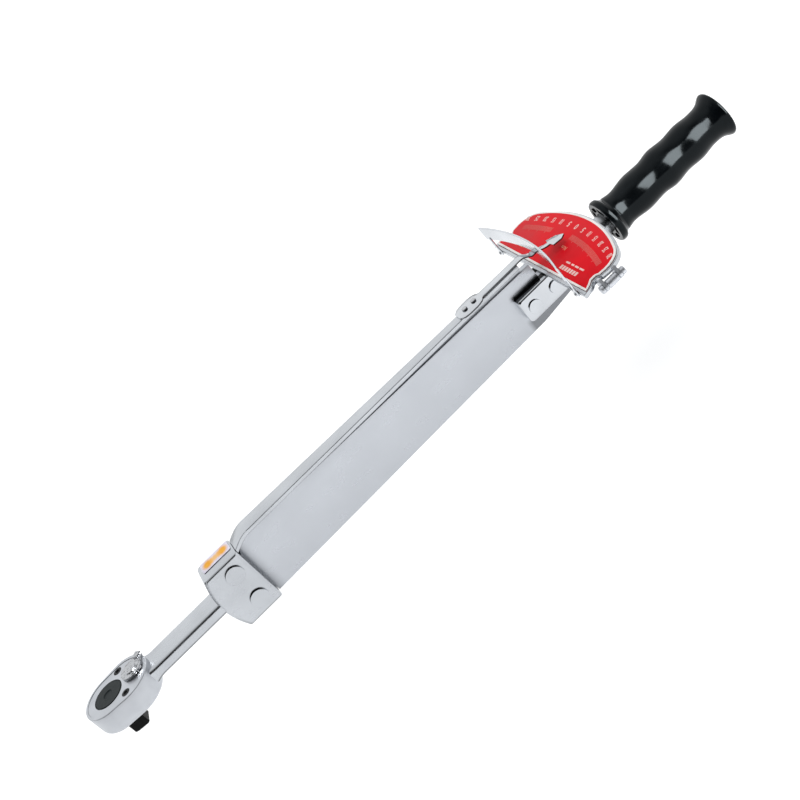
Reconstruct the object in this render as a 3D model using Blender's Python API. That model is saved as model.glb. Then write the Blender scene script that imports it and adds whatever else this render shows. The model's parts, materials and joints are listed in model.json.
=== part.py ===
"""Plate-type torque wrench, 1/2 inch square drive, as separate solids in metres.

+X runs from the ratchet head to the grip, +Z is the drive axis pointing away from the square,
and the broad front of the bending leaf faces -Y. The origin is on the drive axis, in the flat
end of the drive square.
"""

import math

import bmesh
import bpy
from mathutils import Matrix, Vector

# ---------------------------------------------------------------- driving dimensions (metres)
GAP = 0.0003                  # clearance kept between touching pieces
SQUARE_SIDE = 0.0127          # 1/2 inch drive
SQUARE_LENGTH = 0.0158
SQUARE_TURN = math.radians(-10.0)
SQUARE_FLAT = 0.0009          # flats along the square's four edges
SQUARE_LEAD = 0.0012          # chamfer round its end face
AXIS_Z = 0.0257               # height of the shank, leaf and grip centre line

HEAD_BOTTOM = 0.0155
HEAD_TOP = 0.0350
HEAD_RADIUS = 0.0215          # round the drive axis
HEAD_REAR_X = 0.0130          # centre of the second round of the pear-shaped head
HEAD_REAR_RADIUS = 0.0220
COVER_SEAT_Z = 0.0322
COVER_INSET = 0.0027
COVER_THICKNESS = 0.0022
CAVITY_RADIUS = 0.0163
CAVITY_FLOOR = 0.0190
COVER_SCREW_X = 0.0125
COVER_SCREW_Y = 0.0150
COVER_SCREW_END_Z = 0.0260
COVER_COUNTERBORE = (0.0034, 0.0013)  # radius and depth round each screw
COVER_SCREW_HEAD_RADIUS = 0.0031
COVER_SCREW_SHANK_RADIUS = 0.0010

GEAR_RADIUS = 0.0157
GEAR_ROOT_RADIUS = 0.0147
GEAR_TEETH = 36
CAP_RADIUS = 0.01185
JOURNAL_RADIUS = 0.0102
DETENT_Z = 0.0075
BALL_RADIUS = 0.0022
DETENT_BORE_END = -0.0030     # the ball's bore runs past the drive axis
BALL_CENTRE = 0.0053          # distance of the ball from the drive axis

LEVER_X = 0.0230
LEVER_TURN = math.radians(41.0)
LEVER_DISC_RADIUS = 0.0088
LEVER_BASE_Z = 0.0353
LEVER_LENGTH = 0.0142
LEVER_TAB_HALF_WIDTH = 0.0034
LEVER_TAB_ROOT_HALF_WIDTH = 0.0046
LEVER_THICKNESS = 0.0018
LEVER_BOSS_RADIUS = 0.0045
PLUNGER_Z = 0.0255
PLUNGER_RADIUS = 0.0010
STEM_RADIUS = 0.0030
PAWL_INNER_RADIUS = 0.0160
PAWL_OUTER_RADIUS = 0.0196
PAWL_HALF_ANGLE = math.radians(24.0)
PAWL_TURN = math.radians(4.5)
PAWL_TEETH = 5
POCKET_HALF_ANGLE = math.radians(33.0)  # room for the pawl to slide round the gear
STEM_BORE_RADIUS = 0.0050

SHANK_START_X = 0.0260
SHANK_END_X = 0.1030
SHANK_HALF_HEIGHT = 0.0047
SHANK_HALF_WIDTH_HEAD = 0.0113
SHANK_HALF_WIDTH_CLAMP = 0.0120
SHANK_CHAMFER = 0.0009

BLOCK_LEFT_X = 0.1016
BLOCK_RIGHT_X = 0.1312
BLOCK_BULGE = 0.0055
BLOCK_HALF_THICKNESS = 0.0122
BLOCK_HALF_HEIGHT = 0.0244
BLOCK_EDGE = 0.0011
BLOCK_RIVET_X = 0.1194
BLOCK_RIVET_OFFSET = 0.0129
BLOCK_RIVET_RADIUS = 0.0039
BLOCK_RIVET_HEAD = 0.0070
BLOCK_RIVET_HEIGHT = 0.0014
LABEL_CORNERS = ((0.1045, -0.0025), (0.1295, 0.0107))
LABEL_THICKNESS = 0.0003

LEAF_HALF_THICKNESS = 0.0031
LEAF_TANG_X = 0.1045
LEAF_END_X = 0.4215
LEAF_HALF_HEIGHT_HEAD = 0.0248
LEAF_HALF_HEIGHT_END = 0.0207
LEAF_TAPER_END_X = 0.3943
TANG_TOP = 0.0425
TANG_BOTTOM = 0.0045
LEAF_STEP_X = 0.4095          # the top edge steps down here, ahead of the scale
LEAF_LOW_TOP = 0.0350
LEAF_END_BOTTOM = 0.0082
LEAF_CORNER_X = 0.1500        # the rounded upper corner ends here

POINTER_START_X = 0.1316
POINTER_END_X = 0.4030
POINTER_HALF_WIDTH_START = 0.0083
POINTER_HALF_WIDTH_END = 0.0040
POINTER_TOP_START = 0.0550
POINTER_TOP_END = 0.0523
POINTER_THICKNESS = 0.0034
POINTER_RISE_X = 0.0150       # length over which the bar climbs out of the clamp
POINTER_RISE = 0.0050
POINTER_CHAMFER = 0.0005
FLANGE_THICKNESS = 0.0040
FLANGE_BOTTOM = 0.0080
FLANGE_TOP = 0.0462

NEEDLE_THICKNESS = 0.0012
NEEDLE_LUG_X = (0.3495, 0.3715)
NEEDLE_LUG_HALF_WIDTH = 0.0092
NEEDLE_SCREW_X = (0.3568, 0.3650)
NEEDLE_SCREW_RADIUS = 0.0010
NEEDLE_SCREW_HEAD = 0.0022
NEEDLE_STEP_X = (0.4125, 0.4170)  # the needle steps down here, just ahead of the guard
NEEDLE_LEVEL_Z = 0.0451       # underside of the needle under the guard
NEEDLE_ARROW_X = 0.4300
NEEDLE_TIP_Z = 0.0418
NEEDLE_TIP_X = 0.4425

CLAMP_START_X = 0.3850
CLAMP_SLOT_END_X = 0.4225
CLAMP_BLOCK_END_X = 0.4245
CLAMP_NECK_END_X = 0.4320
CLAMP_END_X = 0.4380
CLAMP_HALF_THICKNESS = 0.0120
CLAMP_NECK_HALF_THICKNESS = 0.0078
CLAMP_BOSS_RADIUS = 0.0092
CLAMP_BOTTOM = 0.0155
CLAMP_TOP = 0.0350
CLAMP_CORNER = 0.0015
CLAMP_EDGE = 0.0012             # chamfer along the fork's edges
CLAMP_RIVET_X = (0.3935, 0.4135)
CLAMP_RIVET_Z = 0.0240
CLAMP_RIVET_RADIUS = 0.0028
CLAMP_RIVET_HEAD = 0.0052
CLAMP_RIVET_HEIGHT = 0.0012

ROD_RADIUS = 0.0080
ROD_TENON_RADIUS = 0.0060
ROD_TENON_X = 0.4255
ROD_END_X = 0.5656
ROD_PIN_X = 0.4300
ROD_PIN_RADIUS = 0.0018
STUD_RADIUS = 0.0050
STUD_END_X = 0.5754

PLATE_BASE_X = 0.4150
PLATE_BASE_HALF_WIDTH = 0.0705
PLATE_ARC_CENTRE_X = 0.3115
PLATE_ARC_RADIUS = 0.1510
PLATE_SHOULDER = Vector((0.4350, 0.0505))
PLATE_BOTTOM = 0.0380
PLATE_TOP = 0.0388
PLATE_NOTCH = ((0.0050, -0.0022), (0.0085, -0.0053), (0.0125, -0.0053), (0.0150, -0.0030))  # side notch
FRAME_MARGIN = 0.0027
FRAME_TOP = 0.0377
FRAME_SHEET = 0.0015
FRAME_RIM_BOTTOM = 0.0342
FRAME_WALL = 0.0013
FRAME_WINDOW_HALF_WIDTH = 0.0220  # gap in the front rim over the end clamp
SADDLE_X = (0.4405, 0.4555)
SADDLE_HALF_WIDTH = 0.0130
SADDLE_BOTTOM = 0.0150
SADDLE_EDGE = 0.0008
SADDLE_SCREW_X = 0.4480
SADDLE_SCREW_Y = 0.0105
SADDLE_SCREW_RADIUS = 0.0014
SADDLE_SCREW_HEAD = 0.0032
BOLT_Y = 0.0713
BOLT_Z = 0.0306
BOLT_X = (0.4225, 0.4440)
BOLT_RADIUS = 0.0019
BOLT_BODY_RADIUS = 0.0033     # thick middle between the ears
BOLT_HEAD_RADIUS = 0.0030
BOLT_NUT_RADIUS = 0.0028
EAR_X = (0.4255, 0.4380)
EAR_THICKNESS = 0.0026
EAR_HALF_HEIGHT = 0.0032
EAR_REACH = 0.0098

GUARD_RADIUS = 0.2500
GUARD_APEX_X = 0.4188
GUARD_THICKNESS = 0.0012
GUARD_BOTTOM = 0.0470
GUARD_TOP = 0.0612
GUARD_HALF_WIDTH = 0.0632
GUARD_LEG_WIDTH = 0.0060
GUARD_LEG_X = (0.4108, 0.4120)  # flat legs just ahead of the frame's front rim
GUARD_LEG_BOTTOM = 0.0343
GUARD_LEG_TOP = 0.0520
GUARD_RIVET_Z = 0.0360
GUARD_RIVET_RADIUS = 0.0009
GUARD_RIVET_HEAD = 0.0016

GRIP_START_X = 0.4705
GRIP_END_X = 0.5808
GRIP_FLANGE_RADIUS = 0.0176
GRIP_NECK = (0.4785, 0.0143)  # (x, radius) just behind the flange
# (x, radius) of the finger waves, valley and crest in turn
GRIP_WAVES = ((0.4864, 0.0133), (0.5016, 0.0149), (0.5146, 0.0143), (0.5259, 0.0157),
              (0.5390, 0.0145), (0.5510, 0.0153), (0.5640, 0.0141))
GRIP_POCKET_DEPTH = 0.0090
GRIP_POCKET_RADII = (0.0100, 0.0134)
GRIP_RIBS = 8
GRIP_RIB_HALF_ANGLE = math.radians(4.0)
NUT_SEAT_X = 0.5688           # floor of the grip's end recess
NUT_RECESS_RADIUS = 0.0096
NUT_RADIUS = 0.0088
NUT_LENGTH = 0.0046
WASHER_RADIUS = 0.0092
WASHER_THICKNESS = 0.0012
PLUG_START_X = 0.5758

# ---------------------------------------------------------------- materials
MATERIALS = {
    "nickel": ((0.62, 0.64, 0.67), 0.32, 1.0),
    "polished_chrome": ((0.78, 0.79, 0.81), 0.14, 1.0),
    "spring_steel": ((0.60, 0.62, 0.66), 0.38, 1.0),
    "black_oxide": ((0.030, 0.031, 0.033), 0.45, 0.6),
    "red_enamel": ((0.62, 0.010, 0.018), 0.40, 0.0),
    "label_film": ((0.85, 0.62, 0.28), 0.50, 0.0),
    "black_plastic": ((0.012, 0.012, 0.013), 0.18, 0.0),
    "bright_steel": ((0.55, 0.56, 0.58), 0.28, 1.0),
}


def clear_scene():
    """Remove every object of the open scene."""
    for obj in list(bpy.data.objects):
        bpy.data.objects.remove(obj, do_unlink=True)


def material(name):
    """Return the named Principled material, made on its first use."""
    found = bpy.data.materials.get(name)
    if found:
        return found
    colour, roughness, metallic = MATERIALS[name]
    made = bpy.data.materials.new(name)
    made.use_nodes = True
    shader = made.node_tree.nodes["Principled BSDF"]
    shader.inputs["Base Color"].default_value = (*colour, 1.0)
    shader.inputs["Roughness"].default_value = roughness
    shader.inputs["Metallic"].default_value = metallic
    made.diffuse_color = (*colour, 1.0)
    return made


# ---------------------------------------------------------------- solid builders
def shape_from_sections(sections):
    """Close a stack of equal-length point loops into one bmesh solid."""
    shape = bmesh.new()
    rings = [[shape.verts.new(point) for point in section] for section in sections]
    count = len(rings[0])
    for lower, upper in zip(rings, rings[1:]):
        for i in range(count):
            j = (i + 1) % count
            shape.faces.new((lower[i], lower[j], upper[j], upper[i]))
    shape.faces.new(list(reversed(rings[0])))
    shape.faces.new(rings[-1])
    bmesh.ops.recalc_face_normals(shape, faces=shape.faces)
    return shape


def prism_z(outline, bottom, top):
    """Extrude an (x, y) outline between two heights."""
    return shape_from_sections([[(x, y, z) for x, y in outline] for z in (bottom, top)])


def prism_y(outline, front, back):
    """Extrude an (x, z) outline between two y values."""
    return shape_from_sections([[(x, y, z) for x, z in outline] for y in (front, back)])


def prism_x(outline, start, end):
    """Extrude a (y, z) outline between two x values."""
    return shape_from_sections([[(x, y, z) for y, z in outline] for x in (start, end)])


def box(low, high):
    """Return a box between two corners."""
    outline = [(low[0], low[1]), (high[0], low[1]), (high[0], high[1]), (low[0], high[1])]
    return prism_z(outline, low[2], high[2])


def circle(radius, count, centre=(0.0, 0.0), turn=0.0):
    """Return the corners of a regular polygon."""
    step = 2.0 * math.pi / count
    return [(centre[0] + radius * math.cos(turn + i * step),
             centre[1] + radius * math.sin(turn + i * step)) for i in range(count)]


def arc(centre, radius, start, end, count):
    """Return points along an arc, both ends included."""
    points = []
    for i in range(count + 1):
        angle = start + (end - start) * i / count
        points.append((centre[0] + radius * math.cos(angle), centre[1] + radius * math.sin(angle)))
    return points


def lathe(profile, count):
    """Turn a (radius, height) profile about Z; it starts and ends on the axis."""
    shape = bmesh.new()
    rings = []
    for radius, height in profile[1:-1]:
        rings.append([shape.verts.new((x, y, height)) for x, y in circle(radius, count)])
    first = shape.verts.new((0.0, 0.0, profile[0][1]))
    last = shape.verts.new((0.0, 0.0, profile[-1][1]))
    for i in range(count):
        j = (i + 1) % count
        shape.faces.new((first, rings[0][i], rings[0][j]))
        shape.faces.new((last, rings[-1][j], rings[-1][i]))
        for lower, upper in zip(rings, rings[1:]):
            shape.faces.new((lower[i], upper[i], upper[j], lower[j]))
    bmesh.ops.recalc_face_normals(shape, faces=shape.faces)
    return shape


def ring(inner, outer, bottom, top, count):
    """Return a flat ring about Z."""
    shape = bmesh.new()
    loops = []
    for radius, height in ((inner, bottom), (outer, bottom), (outer, top), (inner, top)):
        loops.append([shape.verts.new((x, y, height)) for x, y in circle(radius, count)])
    for lower, upper in zip(loops, loops[1:] + loops[:1]):
        for i in range(count):
            j = (i + 1) % count
            shape.faces.new((lower[i], lower[j], upper[j], upper[i]))
    bmesh.ops.recalc_face_normals(shape, faces=shape.faces)
    return shape


def coil(radius, wire, bottom, top, turns, per_turn=12, sides=6):
    """Return a helical spring about Z with flat ends."""
    sections = []
    steps = turns * per_turn
    rise = (top - bottom - 2.0 * wire) / steps
    for i in range(steps + 1):
        angle = 2.0 * math.pi * i / per_turn
        centre = Vector((radius * math.cos(angle), radius * math.sin(angle), bottom + wire + rise * i))
        outward = Vector((math.cos(angle), math.sin(angle), 0.0))
        sections.append([centre + wire * (outward * math.cos(t) + Vector((0.0, 0.0, math.sin(t))))
                         for t in (2.0 * math.pi * k / sides for k in range(sides))])
    return shape_from_sections(sections)


AXIS_TO_X = Matrix.Rotation(math.radians(90.0), 4, "Y")
AXIS_TO_FRONT = Matrix.Rotation(math.radians(90.0), 4, "X")


def moved(shape, offset=(0.0, 0.0, 0.0), turn=None):
    """Turn a shape about the origin, then shift it."""
    if turn is not None:
        shape.transform(turn)
    shape.transform(Matrix.Translation(offset))
    return shape


def on_long_axis(shape):
    """Lay a shape built about Z along the wrench's long axis."""
    return moved(shape, (0.0, 0.0, AXIS_Z), AXIS_TO_X)


def cylinder_z(radius, bottom, top, count=32, centre=(0.0, 0.0)):
    """Return a cylinder along Z."""
    return prism_z(circle(radius, count, centre), bottom, top)


def cylinder_y(radius, front, back, x, z, count=24):
    """Return a cylinder along Y."""
    return prism_y(circle(radius, count, (x, z)), front, back)


def cylinder_x(radius, start, end, y=0.0, z=AXIS_Z, count=32):
    """Return a cylinder along X."""
    return prism_x(circle(radius, count, (y, z)), start, end)


# ---------------------------------------------------------------- objects and Booleans
def make_object(name, shape, material_name, pivot=(0.0, 0.0, 0.0)):
    """Turn a bmesh in world coordinates into an object whose origin is the pivot."""
    shape.transform(Matrix.Translation(-Vector(pivot)))
    mesh = bpy.data.meshes.new(name)
    shape.to_mesh(mesh)
    shape.free()
    mesh.materials.append(material(material_name))
    obj = bpy.data.objects.new(name, mesh)
    obj.location = pivot
    bpy.context.scene.collection.objects.link(obj)
    return obj


def combine(obj, shape, operation):
    """Apply one exact Boolean to an object and drop the tool."""
    tool = make_object("tool", shape, "nickel")
    modifier = obj.modifiers.new("combine", "BOOLEAN")
    modifier.operation = operation
    modifier.solver = "EXACT"
    modifier.object = tool
    bpy.context.view_layer.update()
    graph = bpy.context.evaluated_depsgraph_get()
    result = bpy.data.meshes.new_from_object(obj.evaluated_get(graph))
    obj.modifiers.clear()
    old = obj.data
    obj.data = result
    bpy.data.meshes.remove(old)
    tool_mesh = tool.data
    bpy.data.objects.remove(tool, do_unlink=True)
    bpy.data.meshes.remove(tool_mesh)
    result.name = obj.name


def cut(obj, *shapes):
    """Subtract shapes from an object."""
    for shape in shapes:
        combine(obj, shape, "DIFFERENCE")


def add(obj, *shapes):
    """Join shapes to an object."""
    for shape in shapes:
        combine(obj, shape, "UNION")


def make_set(name, shapes, material_name):
    """Give each fastener of a set its own numbered object, shaded smooth."""
    for number, shape in enumerate(shapes, start=1):
        smooth(make_object(f"{name}_{number}", shape, material_name))


def smooth(obj, angle=35.0):
    """Shade smooth, keeping edges sharper than the angle."""
    obj.data.shade_smooth()
    obj.data.set_sharp_from_angle(angle=math.radians(angle))
    return obj


def bevel(obj, width, segments=1, angle=50.0):
    """Round the edges of an object that are sharper than the angle."""
    modifier = obj.modifiers.new("edge_round", "BEVEL")
    modifier.width = width
    modifier.segments = segments
    modifier.limit_method = "ANGLE"
    modifier.angle_limit = math.radians(angle)


# ---------------------------------------------------------------- ratchet head group
def head_outline(inset, count=20):
    """Pear-shaped plan of the ratchet head, drawn in by the inset."""
    front = HEAD_RADIUS - inset
    rear = HEAD_REAR_RADIUS - inset
    lean = math.asin((HEAD_REAR_RADIUS - HEAD_RADIUS) / HEAD_REAR_X)
    quarter = math.pi / 2.0
    points = arc((0.0, 0.0), front, quarter + lean, 3.0 * quarter - lean, count)
    points += arc((HEAD_REAR_X, 0.0), rear, -quarter - lean, quarter + lean, count)
    return points


def head_shell():
    """Solid of the ratchet head alone, with rolled top and bottom edges."""
    levels = (
        (HEAD_BOTTOM, 0.0028), (HEAD_BOTTOM + 0.0008, 0.0013), (HEAD_BOTTOM + 0.0026, 0.0003),
        (HEAD_BOTTOM + 0.0045, 0.0), (HEAD_TOP - 0.0022, 0.0), (HEAD_TOP - 0.0008, 0.0004),
        (HEAD_TOP, 0.0012))
    return shape_from_sections([[(x, y, z) for x, y in head_outline(inset)] for z, inset in levels])


def shank_solid():
    """Flat bar between head and clamp block, with chamfered edges."""
    sections = []
    chamfer, top = SHANK_CHAMFER, SHANK_HALF_HEIGHT
    for x, half in ((SHANK_START_X, SHANK_HALF_WIDTH_HEAD), (SHANK_END_X, SHANK_HALF_WIDTH_CLAMP)):
        corners = [
            (half, top - chamfer), (half - chamfer, top), (chamfer - half, top), (-half, top - chamfer),
            (-half, chamfer - top), (chamfer - half, -top), (half - chamfer, -top), (half, chamfer - top)]
        sections.append([(x, y, AXIS_Z + z) for y, z in corners])
    return shape_from_sections(sections)


def block_outline():
    """Side view (x, z) of the clamp block, bulging towards the shank."""
    half = BLOCK_HALF_HEIGHT
    radius = (half * half + BLOCK_BULGE * BLOCK_BULGE) / (2.0 * BLOCK_BULGE)
    spread = math.asin(half / radius)
    centre = (BLOCK_LEFT_X - BLOCK_BULGE + radius, AXIS_Z)
    points = arc(centre, radius, math.pi - spread, math.pi + spread, 8)
    return points + [(BLOCK_RIGHT_X, AXIS_Z - half), (BLOCK_RIGHT_X, AXIS_Z + half)]


def rivet_heights():
    """Heights of the two clamp rivets."""
    return (AXIS_Z - BLOCK_RIVET_OFFSET, AXIS_Z + BLOCK_RIVET_OFFSET)


def build_ratchet_head():
    """Forged head, shank and slotted clamp block in one piece."""
    head = make_object("ratchet_head", head_shell(), "nickel")
    plain = prism_y(block_outline(), -BLOCK_HALF_THICKNESS, BLOCK_HALF_THICKNESS)
    block = make_object("block", plain, "nickel")
    bevel(block, BLOCK_EDGE, segments=2)
    bpy.context.view_layer.update()
    rounded = bmesh.new()
    rounded.from_object(block, bpy.context.evaluated_depsgraph_get())
    bpy.data.objects.remove(block, do_unlink=True)
    add(head, shank_solid(), rounded)
    above = HEAD_TOP + 0.002
    sector = arc((0.0, 0.0), PAWL_OUTER_RADIUS + 2.0 * GAP, -POCKET_HALF_ANGLE, POCKET_HALF_ANGLE, 10)
    cut(head,
        prism_z(head_outline(COVER_INSET), COVER_SEAT_Z, above),
        cylinder_z(CAVITY_RADIUS, CAVITY_FLOOR, above, 48),
        prism_z([(0.008, 0.0)] + sector, CAVITY_FLOOR + 0.0004, above),
        cylinder_z(STEM_BORE_RADIUS, CAVITY_FLOOR + 0.0004, above, 24, (LEVER_X, 0.0)),
        cylinder_z(JOURNAL_RADIUS + GAP, HEAD_BOTTOM - 0.002, CAVITY_FLOOR + 0.001, 40))
    for side in (-1.0, 1.0):
        centre = (COVER_SCREW_X, side * COVER_SCREW_Y)
        cut(head, cylinder_z(COVER_SCREW_SHANK_RADIUS + 0.0004, COVER_SCREW_END_Z - 0.002, above, 12, centre))
    leaf_slot = LEAF_HALF_THICKNESS + GAP
    cut(head,
        box((LEAF_TANG_X - 0.001, -leaf_slot, TANG_BOTTOM - GAP),
            (BLOCK_RIGHT_X + 0.002, leaf_slot, TANG_TOP + GAP)),
        box((LEAF_TANG_X - 0.001, 0.0, FLANGE_BOTTOM - GAP),
            (BLOCK_RIGHT_X + 0.002, leaf_slot + FLANGE_THICKNESS + GAP, FLANGE_TOP + GAP)))
    for z in rivet_heights():
        cut(head, cylinder_y(BLOCK_RIVET_RADIUS + GAP, -0.015, 0.015, BLOCK_RIVET_X, z))
    return smooth(head)


def build_head_cover():
    """Cover plate over the ratchet mechanism."""
    bottom = COVER_SEAT_Z + GAP
    top = bottom + COVER_THICKNESS
    counterbore, depth = COVER_COUNTERBORE
    cover = make_object("head_cover", prism_z(head_outline(COVER_INSET + GAP), bottom, top), "nickel")
    cut(cover,
        cylinder_z(CAP_RADIUS + 0.0004, bottom - 0.001, top + 0.001, 48),
        cylinder_z(STEM_RADIUS + GAP, bottom - 0.001, top + 0.001, 24, (LEVER_X, 0.0)))
    for side in (-1.0, 1.0):
        centre = (COVER_SCREW_X, side * COVER_SCREW_Y)
        cut(cover,
            cylinder_z(COVER_SCREW_SHANK_RADIUS + 0.0005, bottom - 0.001, top + 0.001, 12, centre),
            cylinder_z(counterbore, top - depth, top + 0.001, 24, centre))
    return smooth(cover)


def build_cover_screws():
    """Two socket screws that hold the cover."""
    seat = COVER_SEAT_Z + COVER_THICKNESS - COVER_COUNTERBORE[1] + 2.0 * GAP
    shank, head, socket = COVER_SCREW_SHANK_RADIUS, COVER_SCREW_HEAD_RADIUS, COVER_SCREW_HEAD_RADIUS / 2.0
    screws = []
    for side in (-1.0, 1.0):
        profile = [
            (0.0, COVER_SCREW_END_Z), (shank, COVER_SCREW_END_Z), (shank, seat), (head, seat),
            (head, seat + 0.0007), (head - 0.0003, seat + 0.0010), (socket, seat + 0.0010),
            (socket, seat + 0.0004), (0.0, seat + 0.0004)]
        screws.append(moved(lathe(profile, 18), (COVER_SCREW_X, side * COVER_SCREW_Y, 0.0)))
    make_set("cover_screw", screws, "black_oxide")


def gear_outline():
    """Corners of the ratchet gear."""
    points = []
    for i in range(GEAR_TEETH):
        pitch = 2.0 * math.pi / GEAR_TEETH
        for fraction, radius in ((0.0, GEAR_RADIUS), (0.5, GEAR_ROOT_RADIUS)):
            angle = pitch * (i + fraction)
            points.append((radius * math.cos(angle), radius * math.sin(angle)))
    return points


def build_drive_spindle():
    """Ratchet gear, journal, top cap and 1/2 inch square in one piece."""
    half = SQUARE_SIDE / 2.0
    sections = []
    for z, inset in ((0.0, SQUARE_LEAD), (SQUARE_LEAD, 0.0), (SQUARE_LENGTH + 0.001, 0.0)):
        side = half - inset
        edge = side - SQUARE_FLAT
        sections.append([(side, edge, z), (edge, side, z), (-edge, side, z), (-side, edge, z),
                         (-side, -edge, z), (-edge, -side, z), (edge, -side, z), (side, -edge, z)])
    square = moved(shape_from_sections(sections), turn=Matrix.Rotation(SQUARE_TURN, 4, "Z"))
    spindle = make_object("drive_spindle", square, "black_oxide")
    gear_bottom = CAVITY_FLOOR + GAP
    gear_top = COVER_SEAT_Z - 0.0001
    add(spindle,
        cylinder_z(JOURNAL_RADIUS, HEAD_BOTTOM + 0.0004, gear_bottom + 0.0005, 40),
        prism_z(gear_outline(), gear_bottom, gear_top))
    cap = [(0.0, gear_top - 0.001), (CAP_RADIUS, gear_top - 0.001), (CAP_RADIUS, HEAD_TOP - 0.0006),
           (CAP_RADIUS - 0.0007, HEAD_TOP), (0.0042, HEAD_TOP), (0.0034, HEAD_TOP - 0.0006),
           (0.0, HEAD_TOP - 0.0006)]
    add(spindle, lathe(cap, 48))
    bore = moved(cylinder_z(BALL_RADIUS + 0.0002, DETENT_BORE_END, 0.0080, 20), turn=AXIS_TO_FRONT)
    bore.transform(Matrix.Rotation(SQUARE_TURN + math.pi, 4, "Z"))
    cut(spindle, moved(bore, (0.0, 0.0, DETENT_Z)))
    return smooth(spindle)


def detent_direction():
    """Outward normal of the square's face that carries the ball."""
    return Vector((-math.sin(SQUARE_TURN), math.cos(SQUARE_TURN), 0.0))


def build_detent():
    """Sprung ball that holds a socket on the square."""
    centre = detent_direction() * BALL_CENTRE + Vector((0.0, 0.0, DETENT_Z))
    steps = 8
    profile = []
    for i in range(steps + 1):
        angle = math.pi * (i / steps - 0.5)
        profile.append((BALL_RADIUS * math.cos(angle), BALL_RADIUS * math.sin(angle)))
    ball = moved(lathe(profile, 16), centre)
    smooth(make_object("detent_ball", ball, "bright_steel", pivot=centre))
    inner_end = BALL_CENTRE - BALL_RADIUS
    spring = moved(coil(0.0015, 0.00025, DETENT_BORE_END + 0.0002, inner_end - 0.0002, 5), turn=AXIS_TO_FRONT)
    spring.transform(Matrix.Rotation(SQUARE_TURN + math.pi, 4, "Z"))
    smooth(make_object("detent_spring", moved(spring, (0.0, 0.0, DETENT_Z)), "bright_steel"))


def build_pawl():
    """Toothed crescent that locks the gear in one direction."""
    low = CAVITY_FLOOR + 0.0008
    high = COVER_SEAT_Z - 0.0014
    inner = []
    for i in range(2 * PAWL_TEETH + 1):
        angle = -PAWL_HALF_ANGLE + PAWL_HALF_ANGLE * i / PAWL_TEETH
        radius = PAWL_INNER_RADIUS if i % 2 else PAWL_INNER_RADIUS + 0.0009
        inner.append((radius * math.cos(angle), radius * math.sin(angle)))
    outer = arc((0.0, 0.0), PAWL_OUTER_RADIUS, PAWL_HALF_ANGLE, -PAWL_HALF_ANGLE, 8)
    shape = moved(prism_z(inner + outer, low, high), turn=Matrix.Rotation(PAWL_TURN, 4, "Z"))
    smooth(make_object("pawl", shape, "bright_steel"))


def lever_outline():
    """Plan of the reversing lever: a disc with a thumb tab, about its pivot."""
    half_width = LEVER_TAB_HALF_WIDTH
    reach = LEVER_LENGTH - half_width
    join = math.asin(LEVER_TAB_ROOT_HALF_WIDTH / LEVER_DISC_RADIUS)
    points = arc((0.0, 0.0), LEVER_DISC_RADIUS, join, 2.0 * math.pi - join, 28)
    return points + arc((reach, 0.0), half_width, -math.pi / 2.0, math.pi / 2.0, 8)


def build_reversing_lever():
    """Thumb lever with its stem, plunger, spring and retaining clip."""
    pivot = (LEVER_X, 0.0, LEVER_BASE_Z)
    turn = Matrix.Rotation(LEVER_TURN, 4, "Z")
    face = LEVER_BASE_Z + LEVER_THICKNESS
    disc = moved(prism_z(lever_outline(), LEVER_BASE_Z, face), (LEVER_X, 0.0, 0.0), turn)
    lever = make_object("reversing_lever", disc, "nickel", pivot=pivot)
    ridge = box((0.0085, -0.0024, face - 0.0008), (0.0135, 0.0024, face + 0.0014))
    ridge = moved(ridge, (LEVER_X, 0.0, 0.0), turn)
    boss = cylinder_z(LEVER_BOSS_RADIUS, face - 0.0008, face + 0.0008, 24, (LEVER_X, 0.0))
    stem = cylinder_z(STEM_RADIUS, CAVITY_FLOOR + 0.0010, LEVER_BASE_Z + 0.0005, 24, (LEVER_X, 0.0))
    add(lever, ridge, boss, stem)
    opposite = Matrix.Rotation(LEVER_TURN + math.pi, 4, "Z")
    bore = moved(cylinder_x(PLUNGER_RADIUS + GAP, -0.0016, 0.0060, z=PLUNGER_Z, count=14), turn=opposite)
    cut(lever, moved(bore, (LEVER_X, 0.0, 0.0)))
    smooth(lever)
    plunger = moved(cylinder_x(PLUNGER_RADIUS, 0.0014, 0.00325, z=PLUNGER_Z, count=14), turn=opposite)
    smooth(make_object("lever_plunger", moved(plunger, (LEVER_X, 0.0, 0.0)), "bright_steel", pivot=pivot))
    spring = moved(coil(0.00075, 0.00018, -0.0014, 0.0012, 5, per_turn=8, sides=5), turn=AXIS_TO_X)
    spring = moved(moved(spring, (0.0, 0.0, PLUNGER_Z)), (LEVER_X, 0.0, 0.0), opposite)
    smooth(make_object("lever_spring", spring, "bright_steel", pivot=pivot))
    clip = moved(ring(STEM_RADIUS + 0.0002, 0.0043, COVER_SEAT_Z - 0.0010, COVER_SEAT_Z - 0.0003, 20),
                 (LEVER_X, 0.0, 0.0))
    smooth(make_object("lever_clip", clip, "black_oxide", pivot=pivot))


# ---------------------------------------------------------------- leaf, pointer and clamp fasteners
def leaf_half_height(x):
    """Half height of the tapering leaf at a station."""
    share = (x - POINTER_START_X) / (LEAF_TAPER_END_X - POINTER_START_X)
    return LEAF_HALF_HEIGHT_HEAD + (LEAF_HALF_HEIGHT_END - LEAF_HALF_HEIGHT_HEAD) * share


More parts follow.
